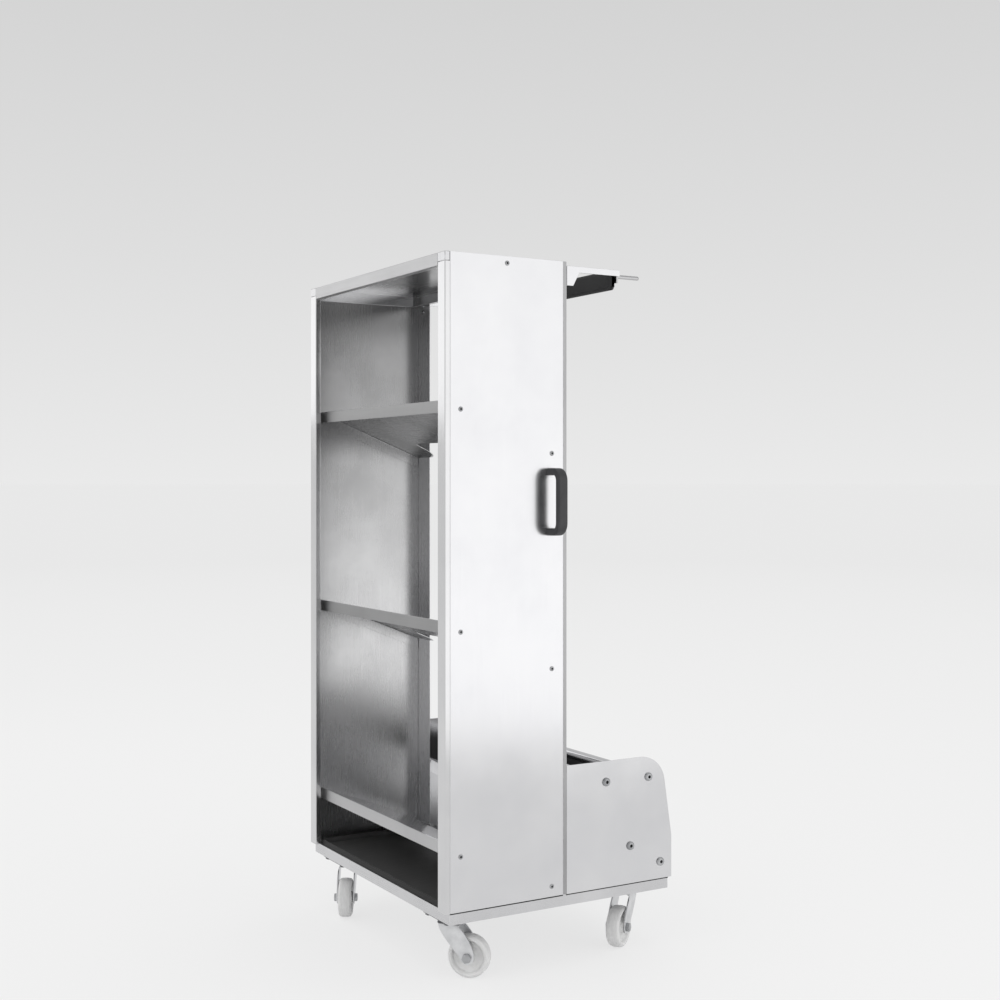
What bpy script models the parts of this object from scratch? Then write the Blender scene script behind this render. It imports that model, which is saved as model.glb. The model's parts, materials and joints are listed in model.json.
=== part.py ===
"""Ski and boot trolley in folded stainless sheet.

An open-fronted cabinet with three boot shelves that slope down to the rear, a stand and a rack for
upright skis behind it, a drip tray, two bridge handles and four swivel castors.

Frame: origin on the floor under the middle of the trolley, +X to the right seen from the front,
+Y to the rear, +Z up. "Depth" below is measured from the cabinet's front face towards the rear.
"""
import math

import bmesh
import bpy
from mathutils import Matrix, Vector

# Clearances between neighbouring pieces
FIT_GAP = 0.0003
TRAY_SIDE_CLEARANCE = 0.002
SHELF_REAR_CLEARANCE = 0.001
HOLE_CLEARANCE = 0.0003

# Cabinet shell
CABINET_WIDTH = 0.630
CABINET_DEPTH = 0.268
CABINET_HEIGHT = 1.228
SHEET = 0.0015
POST_FACE = 0.029
POST_WRAP = 0.011
POST_RETURN = 0.012
CORNER_BLOCK_HEIGHT = 0.018
REAR_WRAP = 0.0075
REAR_RETURN = 0.060
TOP_RAIL_HEIGHT = 0.025
TOP_RAIL_DEPTH = 0.0135
TOP_FLANGE = 0.025
EDGE_BEVEL = 0.0004
POST_FOLD_RADIUS = 0.0015

# Base pan and drip tray
BASE_HEIGHT = 0.022
BASE_SHEET = 0.002
BASE_FRONT_INSET = 0.011
BASE_REAR_INSET = 0.008
BASE_SIDE_INSET = 0.002
TRAY_WALL = 0.012
TRAY_SHEET = 0.002
TRAY_FRONT_INSET = 0.002
TRAY_CORNER = 0.012

# Boot shelves
SHELF_NAMES = ("lower_boot_shelf", "middle_boot_shelf", "upper_boot_shelf")
SHELF_SLOPE = math.radians(22)
SHELF_PITCH = 0.4167
LOWEST_LIP_TOP = 0.122
LIP_HEIGHT = 0.024
LIP_INSET = 0.0215
FOLD_RADIUS = 0.003
CORNER_RELIEF = 0.004
CUTOUT_TAB = 0.115
CUTOUT_DEPTH = 0.070
CUTOUT_OUTER_RADIUS = 0.050
CUTOUT_INNER_RADIUS = 0.020

# Bridge handles
HANDLE_HEIGHT = 0.130
HANDLE_WIDTH = 0.022
HANDLE_REACH = 0.043
HANDLE_GRIP = 0.013
HANDLE_LEG = 0.014
HANDLE_OUTER_RADIUS = 0.018
HANDLE_INNER_RADIUS = 0.008
HANDLE_BEVEL = 0.003
HANDLE_DEPTH = 0.233
HANDLE_RISE = 0.762

# Ski stand behind the cabinet
CHEEK_REACH = 0.253
CHEEK_HEIGHT = 0.249
CHEEK_PLATE = 0.0025
CHEEK_UPRIGHT = 0.085
CHEEK_SLANT = math.radians(8.5)
CHEEK_TOP_RADIUS = 0.058
CHEEK_ANGLE_LEG = 0.018
CHEEK_ANGLE_SHEET = 0.002
CHEEK_ANGLE_INSET = 0.010
BAR_DIAMETER = 0.0213
BAR_WALL = 0.0015
BAR_PLUG = 0.020
BAR_HEIGHT = 0.208
FRONT_BAR_REACH = 0.093
REAR_BAR_INSET = 0.0575
FLOOR_BOLT_PLACES = ((0.102, 0.075), (0.028, 0.034))
FLOOR_RISE = 0.014
FLOOR_FRONT_CLEARANCE = 0.002
FLOOR_REAR_INSET = 0.017
FLOOR_FLANGE = 0.028
FLOOR_SHEET = 0.002
MAT_THICKNESS = 0.003
MAT_INSET = 0.008
BOLT_SHANK = 0.008
BOLT_HEAD = 0.017
BOLT_HEAD_HEIGHT = 0.0045
BOLT_LENGTH = 0.016
BOLT_SOCKET = 0.006

# Ski rack at the top
ARM_TOP_DROP = 0.008
ARM_HEIGHT = 0.012
ARM_REACH = 0.126
ARM_SHEET = 0.003
ARM_FOLD_RADIUS = 0.0025
ARM_FOOT_HEIGHT = 0.038
ARM_FOOT_WIDTH = 0.050
ARM_GUSSET = 0.014
COMB_HEIGHT = 0.025
COMB_THICKNESS = 0.004
COMB_END_INSET = 0.002
PAD_HEIGHT = 0.039
PAD_THICKNESS = 0.016
TINE_COUNT = 7
TINE_END_INSET = 0.015
TINE_DIAMETER = 0.008
TINE_LENGTH = 0.058
TINE_DROP = 0.011

# Castors
CASTOR_HEIGHT = 0.120
CASTOR_SIDE_INSET = 0.077
FRONT_CASTOR_DEPTH = 0.055
REAR_CASTOR_INSET = 0.061
CHANNEL_WIDTH = 0.080
CHANNEL_SHEET = 0.002
CASTOR_PLATE_WIDTH = 0.095
CASTOR_PLATE_DEPTH = 0.078
CASTOR_PLATE = 0.004
CASTOR_PLATE_RADIUS = 0.009
RACE_RADIUS = 0.024
RACE_HEIGHT = 0.009
RACE_CHAMFER = 0.003
KINGPIN_RADIUS = 0.006
KINGPIN_HEAD_RADIUS = 0.011
KINGPIN_HEAD_HEIGHT = 0.003
FORK_CROWN_RADIUS = 0.027
FORK_CROWN = 0.0035
FORK_LEG = 0.003
FORK_LEG_TOP = 0.036
FORK_EYE_RADIUS = 0.014
CASTOR_TRAIL = 0.037
WHEEL_DIAMETER = 0.082
WHEEL_WIDTH = 0.028
WHEEL_HUB_RADIUS = 0.0135
WHEEL_HUB_OVERHANG = 0.0007
WHEEL_RIM_RADIUS = 0.031
WHEEL_WEB = 0.010
WHEEL_DRAFT = 0.001
WHEEL_EDGE_RADIUS = 0.006
WHEEL_SIDE_CLEARANCE = 0.0015
AXLE_RADIUS = 0.005
AXLE_HEAD_RADIUS = 0.0095
AXLE_HEAD_HEIGHT = 0.006
CASTOR_HEADINGS = {
    "front_right": math.atan2(0.69, 0.72),
    "front_left": math.atan2(-0.50, 0.86),
    "rear_right": math.atan2(-0.82, 0.57),
    "rear_left": math.atan2(-0.80, -0.60),
}

ROUND_STEPS = 24
BOLT_STEPS = 12
WHEEL_STEPS = 24
ARC_STEPS = 6

# Levels and places that follow from the driving dimensions
TOTAL_DEPTH = CABINET_DEPTH + CHEEK_REACH
BASE_TOP = CASTOR_HEIGHT + BASE_HEIGHT
CABINET_TOP = BASE_TOP + CABINET_HEIGHT
HALF_WIDTH = CABINET_WIDTH / 2
REAR_CASTOR_DEPTH = TOTAL_DEPTH - REAR_CASTOR_INSET
SEAT = BASE_TOP + FIT_GAP
WALL_OUTER = HALF_WIDTH - SHEET - FIT_GAP
WALL_INNER = WALL_OUTER - SHEET
OPENING_HALF = HALF_WIDTH - POST_FACE - FIT_GAP
REAR_FLANGE_FRONT = CABINET_DEPTH - SHEET
CHEEK_INNER = HALF_WIDTH - CHEEK_PLATE
BAR_LEVEL = BASE_TOP + BAR_HEIGHT
REAR_BAR_REACH = CHEEK_REACH - REAR_BAR_INSET
FLOOR_BOLTS = tuple((CHEEK_REACH - inset, height) for inset, height in FLOOR_BOLT_PLACES)
FLOOR_REAR_REACH = CHEEK_REACH - FLOOR_REAR_INSET
TINE_PITCH = (CABINET_WIDTH - 2 * TINE_END_INSET) / (TINE_COUNT - 1)
SHAFT_HOLE = BOLT_SHANK / 2 + HOLE_CLEARANCE


def y_at(depth):
    """World y of a depth behind the cabinet's front face."""
    return depth - TOTAL_DEPTH / 2


def clear_scene():
    for existing in list(bpy.data.objects):
        bpy.data.objects.remove(existing, do_unlink=True)


def new_collection(name):
    collection = bpy.data.collections.new(name)
    bpy.context.scene.collection.children.link(collection)
    return collection


def principled(name, colour, roughness, metallic):
    material = bpy.data.materials.new(name)
    material.use_nodes = True
    shader = material.node_tree.nodes["Principled BSDF"]
    shader.inputs["Base Color"].default_value = (*colour, 1.0)
    shader.inputs["Roughness"].default_value = roughness
    shader.inputs["Metallic"].default_value = metallic
    return material


clear_scene()
PARTS = new_collection("ski_boot_trolley")
CUTTERS = new_collection("cutters")

POLISHED = principled("polished_steel", (0.78, 0.78, 0.79), 0.16, 1.0)
BRUSHED = principled("brushed_steel", (0.66, 0.66, 0.67), 0.30, 1.0)
ZINC = principled("zinc_plated_steel", (0.62, 0.63, 0.65), 0.34, 1.0)
BLACK_PLASTIC = principled("black_plastic", (0.035, 0.035, 0.038), 0.42, 0.0)
BLACK_RUBBER = principled("black_rubber", (0.022, 0.022, 0.023), 0.80, 0.0)
BLACK_COATING = principled("black_coating", (0.030, 0.030, 0.031), 0.50, 0.0)
WHITE_POLYAMIDE = principled("white_polyamide", (0.86, 0.86, 0.84), 0.35, 0.0)


def link_object(name, data, material, location=(0, 0, 0), rotation=(0, 0, 0), collection=PARTS):
    part = bpy.data.objects.new(name, data)
    part.location = location
    part.rotation_euler = rotation
    if material and not data.materials:
        data.materials.append(material)
    collection.objects.link(part)
    if collection is CUTTERS:
        part.hide_render = True
        part.display_type = "WIRE"
    return part


def mesh_from(bm, name):
    bmesh.ops.recalc_face_normals(bm, faces=bm.faces[:])
    mesh = bpy.data.meshes.new(name)
    bm.to_mesh(mesh)
    bm.free()
    return mesh


def box(name, material, low, high, bevel=0.0, collection=PARTS):
    """Axis-aligned block between two corners."""
    low = Vector(low)
    high = Vector(high)
    bm = bmesh.new()
    bmesh.ops.create_cube(bm, size=1.0)
    bmesh.ops.scale(bm, vec=high - low, verts=bm.verts)
    block = link_object(name, mesh_from(bm, name), material, (low + high) / 2, collection=collection)
    if bevel:
        add_bevel(block, bevel, 1)
    return block


def add_bevel(part, width, segments):
    bevel = part.modifiers.new("rounded edges", "BEVEL")
    bevel.width = width
    bevel.segments = segments
    bevel.limit_method = "ANGLE"
    bevel.angle_limit = math.radians(40)
    bevel.use_clamp_overlap = True
    return bevel


def folded_sheet(name, material, outline, folds, thickness, fold_radius=0.0):
    """Flat outline with flanges folded off its edges.

    Each fold is (index of the edge's first point, vector at that point, vector at the next one).
    The outline and the flanges are the sheet's middle surface.
    """
    bm = bmesh.new()
    corners = [bm.verts.new(point) for point in outline]
    bm.faces.new(corners)
    for start, first_vector, second_vector in folds:
        first = corners[start]
        second = corners[(start + 1) % len(corners)]
        edge = bm.edges.get((first, second))
        grown = bmesh.ops.extrude_edge_only(bm, edges=[edge])["geom"]
        moved = [item for item in grown if isinstance(item, bmesh.types.BMVert)]
        for vert in moved:
            at_first = (vert.co - first.co).length < (vert.co - second.co).length
            vert.co += Vector(first_vector if at_first else second_vector)
    part = link_object(name, mesh_from(bm, name), material)
    if fold_radius:
        add_bevel(part, fold_radius, 2)
    add_thickness(part, thickness)
    return part


def add_thickness(part, thickness):
    solidify = part.modifiers.new("sheet", "SOLIDIFY")
    solidify.thickness = thickness
    solidify.offset = 0.0
    solidify.use_even_offset = True
    return solidify


def pan(name, material, low, high, wall_vector, thickness, corner_radius=0.0):
    """Rectangular sheet with a wall all round, welded at the corners."""
    x0, y0, z0 = low
    x1, y1 = high
    outline = rounded_rectangle(x1 - x0, y1 - y0, corner_radius)
    centre = Vector(((x0 + x1) / 2, (y0 + y1) / 2, z0))
    bm = bmesh.new()
    bm.faces.new([bm.verts.new(centre + Vector((x, y, 0))) for x, y in outline])
    grown = bmesh.ops.extrude_edge_only(bm, edges=bm.edges[:])["geom"]
    rim = [item for item in grown if isinstance(item, bmesh.types.BMVert)]
    bmesh.ops.translate(bm, verts=rim, vec=wall_vector)
    part = link_object(name, mesh_from(bm, name), material)
    add_thickness(part, thickness)
    return part


def arc(centre, radius, start, end, steps=ARC_STEPS):
    """Points along an arc, angles in degrees."""
    points = []
    for step in range(steps + 1):
        angle = math.radians(start + (end - start) * step / steps)
        points.append((centre[0] + radius * math.cos(angle), centre[1] + radius * math.sin(angle)))
    return points


def rounded_rectangle(width, depth, radius):
    x = width / 2 - radius
    y = depth / 2 - radius
    if radius <= 0:
        return [(x, y), (-x, y), (-x, -y), (x, -y)]
    points = []
    for sign_x, sign_y, start in ((1, 1, 0), (-1, 1, 90), (-1, -1, 180), (1, -1, 270)):
        points += arc((sign_x * x, sign_y * y), radius, start, start + 90, 4)
    return points


def circle(centre, radius, steps=16):
    return arc(centre, radius, 0, 360 * (steps - 1) / steps, steps - 1)


def plate_curve(name, material, loops, thickness, location, rotation, collection=PARTS):
    """Flat plate from closed loops: the first is its outline, the others are holes."""
    curve = bpy.data.curves.new(name, "CURVE")
    curve.dimensions = "2D"
    curve.fill_mode = "BOTH"
    curve.extrude = thickness / 2
    for loop in loops:
        spline = curve.splines.new("POLY")
        spline.points.add(len(loop) - 1)
        for point, (x, y) in zip(spline.points, loop):
            point.co = (x, y, 0, 1)
        spline.use_cyclic_u = True
    return link_object(name, curve, material, location, rotation, collection)


def curve_to_mesh(part):
    """Replace a curve object by the welded mesh of its shape."""
    name = part.name
    material = part.data.materials[0] if part.data.materials else None
    collection = part.users_collection[0]
    graph = bpy.context.evaluated_depsgraph_get()
    mesh = bpy.data.meshes.new_from_object(part.evaluated_get(graph))
    bm = bmesh.new()
    bm.from_mesh(mesh)
    bmesh.ops.remove_doubles(bm, verts=bm.verts, dist=0.00001)
    bmesh.ops.recalc_face_normals(bm, faces=bm.faces[:])
    bm.to_mesh(mesh)
    bm.free()
    matrix = part.matrix_world.copy()
    bpy.data.objects.remove(part, do_unlink=True)
    solid = link_object(name, mesh, material, collection=collection)
    solid.matrix_world = matrix
    return solid


def turned(name, material, profile, steps, location=(0, 0, 0), rotation=(0, 0, 0), closed=False,
           collection=PARTS):
    """Profile of (radius, height) points, running down the outer side, turned about local Z."""
    bm = bmesh.new()
    points = [bm.verts.new((radius, 0, height)) for radius, height in profile]
    for first, second in zip(points, points[1:]):
        bm.edges.new((first, second))
    if closed:
        bm.edges.new((points[-1], points[0]))
    mesh = bpy.data.meshes.new(name)
    bm.to_mesh(mesh)
    bm.free()
    part = link_object(name, mesh, material, location, rotation, collection)
    screw = part.modifiers.new("turned", "SCREW")
    screw.steps = steps
    screw.render_steps = steps
    screw.use_merge_vertices = True
    screw.merge_threshold = 0.00001
    return part


def cylinder(name, material, radius, length, location, rotation, steps=ROUND_STEPS, collection=PARTS):
    bm = bmesh.new()
    bmesh.ops.create_cone(bm, cap_ends=True, segments=steps, radius1=radius, radius2=radius, depth=length)
    return link_object(name, mesh_from(bm, name), material, location, rotation, collection)


def combine(part, other, operation):
    boolean = part.modifiers.new(other.name, "BOOLEAN")
    boolean.operation = operation
    boolean.solver = "EXACT"
    boolean.object = other
    return part


ALONG_X = (0, math.radians(90), 0)
ALONG_MINUS_X = (0, math.radians(-90), 0)
SIDE_VIEW = (math.radians(90), 0, math.radians(90))
SIDES = {"right": 1, "left": -1}


def build_base():
    """Folded pan, open below, that carries the cabinet, the stand and the castors."""
    side = HALF_WIDTH - BASE_SIDE_INSET - BASE_SHEET / 2
    front = y_at(BASE_FRONT_INSET + BASE_SHEET / 2)
    rear = y_at(TOTAL_DEPTH - BASE_REAR_INSET - BASE_SHEET / 2)
    top = BASE_TOP - BASE_SHEET / 2
    skirt = Vector((0, 0, -(BASE_HEIGHT - BASE_SHEET / 2)))
    pan("base_pan", BRUSHED, (-side, front, top), (side, rear), skirt, BASE_SHEET)


def build_castor_channel(name, depth):
    """Channel across the inside of the base pan that a pair of castors is bolted to."""
    half = CHANNEL_SHEET / 2
    end = HALF_WIDTH - BASE_SIDE_INSET - BASE_SHEET - FIT_GAP
    front = y_at(depth - CHANNEL_WIDTH / 2 + half)
    rear = y_at(depth + CHANNEL_WIDTH / 2 - half)
    web = CASTOR_HEIGHT + half
    outline = [(-end, front, web), (end, front, web), (end, rear, web), (-end, rear, web)]
    rise = (0, 0, BASE_HEIGHT - BASE_SHEET - FIT_GAP - half)
    folded_sheet(name, BRUSHED, outline, [(0, rise, rise), (2, rise, rise)], CHANNEL_SHEET)


def build_drip_tray():
    """Shallow black tray that stands on the pan and passes between the front posts."""
    half = TRAY_SHEET / 2
    side = OPENING_HALF - TRAY_SIDE_CLEARANCE - half
    front = y_at(BASE_FRONT_INSET + TRAY_FRONT_INSET + half)
    rear = y_at(REAR_FLANGE_FRONT - SHELF_REAR_CLEARANCE - half)
    floor = SEAT + half
    wall = Vector((0, 0, TRAY_WALL - half))
    pan("drip_tray", BLACK_COATING, (-side, front, floor), (side, rear), wall, TRAY_SHEET, TRAY_CORNER)


def build_side(side_name, side):
    """Front post, rear post, inner wall and outer cladding of one side."""
    half = SHEET / 2
    outer = side * (HALF_WIDTH - half)
    inner = side * (HALF_WIDTH - POST_FACE + half)
    block_low = CABINET_TOP - CORNER_BLOCK_HEIGHT
    post_top = block_low - FIT_GAP
    front = y_at(half)
    face = [(outer, front, SEAT), (inner, front, SEAT), (inner, front, post_top), (outer, front, post_top)]
    wrap = (0, POST_WRAP - half, 0)
    inner_return = (0, POST_RETURN - half, 0)
    folds = [(1, inner_return, inner_return), (3, wrap, wrap)]
    folded_sheet(f"{side_name}_front_post", BRUSHED, face, folds, SHEET, POST_FOLD_RADIUS)

    low = (min(side * HALF_WIDTH, side * (HALF_WIDTH - POST_FACE)), y_at(0), block_low)
    high = (low[0] + POST_FACE, y_at(POST_WRAP), CABINET_TOP)
    box(f"{side_name}_corner_block", BRUSHED, low, high, EDGE_BEVEL * 3)

    rear = y_at(CABINET_DEPTH - half)
    flange_edge = side * (HALF_WIDTH - REAR_RETURN)
    face = [(outer, rear, SEAT), (flange_edge, rear, SEAT), (flange_edge, rear, CABINET_TOP),
            (outer, rear, CABINET_TOP)]
    wrap = (0, -(REAR_WRAP - half), 0)
    folded_sheet(f"{side_name}_rear_post", BRUSHED, face, [(3, wrap, wrap)], SHEET)

    wall_front = y_at(POST_RETURN + FIT_GAP)
    wall_rear = y_at(REAR_FLANGE_FRONT - FIT_GAP)
    walls = sorted((side * WALL_OUTER, side * WALL_INNER))
    box(f"{side_name}_side_wall", POLISHED, (walls[0], wall_front, SEAT),
        (walls[1], wall_rear, CABINET_TOP))

    panel_front = y_at(POST_WRAP + FIT_GAP)
    panel_rear = y_at(CABINET_DEPTH - REAR_WRAP - FIT_GAP)
    panel = sorted((side * HALF_WIDTH, side * (HALF_WIDTH - SHEET)))
    box(f"{side_name}_side_cladding", POLISHED, (panel[0], panel_front, SEAT),
        (panel[1], panel_rear, CABINET_TOP), EDGE_BEVEL)


def build_top_rail(name, half_span, face_depth, direction):
    """Channel with its web outwards and two flanges towards the middle of the cabinet."""
    half = SHEET / 2
    web = y_at(face_depth) + direction * half
    top = CABINET_TOP - half
    bottom = CABINET_TOP - TOP_RAIL_HEIGHT + half
    face = [(-half_span, web, bottom), (half_span, web, bottom),
            (half_span, web, top), (-half_span, web, top)]
    flange = (0, direction * (TOP_RAIL_DEPTH - half), 0)
    folded_sheet(name, BRUSHED, face, [(0, flange, flange), (2, flange, flange)], SHEET,
                 POST_FOLD_RADIUS)


def build_top():
    """Front and rear rails with the top panel let in between them."""
    rear_face = REAR_FLANGE_FRONT - FIT_GAP
    build_top_rail("front_top_rail", OPENING_HALF, 0, 1)
    build_top_rail("rear_top_rail", WALL_INNER - FIT_GAP, rear_face, -1)
    half = SHEET / 2
    side = WALL_INNER - FIT_GAP - half
    front = y_at(TOP_RAIL_DEPTH + FIT_GAP)
    rear = y_at(rear_face - TOP_RAIL_DEPTH - FIT_GAP)
    top = CABINET_TOP - half
    outline = [(-side, front, top), (side, front, top), (side, rear, top), (-side, rear, top)]
    drop = (0, 0, -(TOP_FLANGE - half))
    folded_sheet("top_panel", POLISHED, outline, [(1, drop, drop), (3, drop, drop)], SHEET)


def shelf_outline(half_span, front, rear):
    """Plan of a shelf as (x, depth): a rear cut-out leaves a rounded tab at each side."""
    outer = min(CUTOUT_OUTER_RADIUS, CUTOUT_DEPTH * 0.75, CUTOUT_TAB * 0.6)
    inner = min(CUTOUT_INNER_RADIUS, CUTOUT_DEPTH - outer)
    edge = half_span - CUTOUT_TAB
    bottom = rear - CUTOUT_DEPTH
    relief = CORNER_RELIEF
    right = [(half_span - relief, front), (half_span, front + relief), (half_span, rear)]
    right += arc((edge + outer, rear - outer), outer, 90, 180)
    right += arc((edge - inner, bottom + inner), inner, 0, -90, 4)
    left = [(-x, depth) for x, depth in reversed(right)]
    return right + left


def build_shelf(name, lip_top):
    """Sloping shelf with a folded lip in front and a flange down each side wall."""
    half = SHEET / 2
    fall = math.tan(SHELF_SLOPE)
    front = LIP_INSET + half
    rear = REAR_FLANGE_FRONT - SHELF_REAR_CLEARANCE
    half_span = WALL_INNER - FIT_GAP - half
    surface = lip_top - half / math.cos(SHELF_SLOPE)

    def height_at(depth):
        return surface - (depth - front) * fall

    plan = shelf_outline(half_span, front, rear)
    outline = [(x, y_at(depth), height_at(depth)) for x, depth in plan]
    lip = (0, 0, -(LIP_HEIGHT - half))
    floor = SEAT + FIT_GAP
    rear_drop = min(LIP_HEIGHT - half, height_at(rear) - floor)
    full = (0, 0, -(LIP_HEIGHT - half))
    short = (0, 0, -max(rear_drop, SHEET))
    last = len(plan) - 1
    folds = [(1, full, short), (last - 2, short, full), (last, lip, lip)]
    folded_sheet(name, POLISHED, outline, folds, SHEET, FOLD_RADIUS)


def handle_outline():
    """Side view of a bridge handle as (reach from the panel, height from its centre)."""
    half = HANDLE_HEIGHT / 2
    outer = HANDLE_OUTER_RADIUS
    inner = HANDLE_INNER_RADIUS
    reach = HANDLE_REACH
    inside = HANDLE_REACH - HANDLE_GRIP
    leg = half - HANDLE_LEG
    points = [(0, -half)]
    points += arc((reach - outer, -half + outer), outer, -90, 0)
    points += arc((reach - outer, half - outer), outer, 0, 90)
    points += [(0, half), (0, leg)]
    points += arc((inside - inner, leg - inner), inner, 90, 0, 4)
    points += arc((inside - inner, -leg + inner), inner, 0, -90, 4)
    points += [(0, -leg)]
    return points


def build_handle(side_name, side):
    """Bridge handle on the cladding: its feet face the panel and the bow stands off it."""
    quarter = math.radians(90)
    turn = Matrix.Rotation(quarter, 4, "X")
    if side < 0:
        turn = Matrix.Rotation(math.pi, 4, "Z") @ turn
    curve = plate_curve(f"{side_name}_handle", BLACK_PLASTIC, [handle_outline()], HANDLE_WIDTH,
                        (0, 0, 0), (0, 0, 0))
    place = Vector((side * (HALF_WIDTH + FIT_GAP), y_at(HANDLE_DEPTH), BASE_TOP + HANDLE_RISE))
    curve.matrix_world = Matrix.Translation(place) @ turn
    bpy.context.view_layer.update()
    handle = curve_to_mesh(curve)
    add_bevel(handle, HANDLE_BEVEL, 2)


def cheek_outline():
    """Side view of a cheek as (depth behind the cabinet, height above the base)."""
    start = FIT_GAP
    slant = math.tan(CHEEK_SLANT)
    radius = CHEEK_TOP_RADIUS
    turn = 90 - math.degrees(CHEEK_SLANT)
    centre_height = CHEEK_HEIGHT - radius
    leave_height = centre_height + radius * math.sin(CHEEK_SLANT)
    leave_reach = CHEEK_REACH - (leave_height - CHEEK_UPRIGHT) * slant
    centre_reach = leave_reach - radius * math.cos(CHEEK_SLANT)
    points = [(start, 0), (CHEEK_REACH, 0), (CHEEK_REACH, CHEEK_UPRIGHT)]
    points += arc((centre_reach, centre_height), radius, 90 - turn, 90, 10)
    points += [(start, CHEEK_HEIGHT)]
    return points


def bolt_places():
    """Cheek bolts as (name, reach behind the cabinet, height above the base)."""
    places = [("front_bar", FRONT_BAR_REACH, BAR_HEIGHT), ("rear_bar", REAR_BAR_REACH, BAR_HEIGHT)]
    for name, (reach, height) in zip(("floor_front", "floor_rear"), FLOOR_BOLTS):
        places.append((name, reach, height))
    return places


def build_cheek(side_name, side):
    """Cheek plate, the angle that ties it to the cabinet, and its four bolts."""
    holes = [circle((reach, height), SHAFT_HOLE) for name, reach, height in bolt_places()]
    place = (side * (HALF_WIDTH - CHEEK_PLATE / 2), y_at(CABINET_DEPTH), SEAT)
    loops = [cheek_outline()] + holes
    plate_curve(f"{side_name}_ski_cheek", POLISHED, loops, CHEEK_PLATE, place, SIDE_VIEW)

    half = CHEEK_ANGLE_SHEET / 2
    corner_x = side * (CHEEK_INNER - FIT_GAP - half)
    corner_y = y_at(CABINET_DEPTH + FIT_GAP + half)
    low = SEAT + CHEEK_ANGLE_INSET
    high = SEAT + CHEEK_HEIGHT - CHEEK_ANGLE_INSET
    inward = corner_x - side * (CHEEK_ANGLE_LEG - half)
    face = [(corner_x, corner_y, low), (inward, corner_y, low), (inward, corner_y, high),
            (corner_x, corner_y, high)]
    leg = (0, CHEEK_ANGLE_LEG - half, 0)
    folded_sheet(f"{side_name}_cheek_angle", BRUSHED, face, [(3, leg, leg)], CHEEK_ANGLE_SHEET)

    head = BOLT_HEAD / 2
    shank = BOLT_SHANK / 2
    socket = BOLT_SOCKET / 2
    top = BOLT_HEAD_HEIGHT
    profile = [(0, top * 0.45), (socket, top * 0.45), (socket, top), (head * 0.62, top),
               (head * 0.9, top * 0.62), (head, top * 0.2), (head, 0), (shank, 0),
               (shank, -BOLT_LENGTH), (0, -BOLT_LENGTH)]
    turn = ALONG_X if side > 0 else ALONG_MINUS_X
    for name, reach, height in bolt_places():
        place = (side * (HALF_WIDTH + FIT_GAP), y_at(CABINET_DEPTH + reach), SEAT + height)
        turned(f"{side_name}_{name}_bolt", ZINC, profile, BOLT_STEPS, place, turn)


def build_ski_bars():
    """Round tubes between the cheeks, with a drilled plug in each end for the cheek bolt."""
    radius = BAR_DIAMETER / 2
    hollow = radius - BAR_WALL
    half = CHEEK_INNER - FIT_GAP
    plug = half - BAR_PLUG
    bore = SHAFT_HOLE
    profile = [(radius, half), (radius, -half), (bore, -half), (bore, -plug), (hollow, -plug),
               (hollow, plug), (bore, plug), (bore, half)]
    for name, reach in (("front_ski_bar", FRONT_BAR_REACH), ("rear_ski_bar", REAR_BAR_REACH)):
        place = (0, y_at(CABINET_DEPTH + reach), SEAT + BAR_HEIGHT)
        turned(name, POLISHED, profile, ROUND_STEPS, place, ALONG_X, closed=True)


def floor_line():
    """Slope of the ski floor and its middle height at a reach behind the cabinet."""
    (front_reach, front_height), (rear_reach, rear_height) = FLOOR_BOLTS
    angle = math.atan2(front_height - rear_height, rear_reach - front_reach)

    def height_at(reach):
        along = (front_reach - reach) * math.tan(angle)
        return SEAT + front_height + along + FLOOR_RISE / math.cos(angle)

    return angle, height_at


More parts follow.
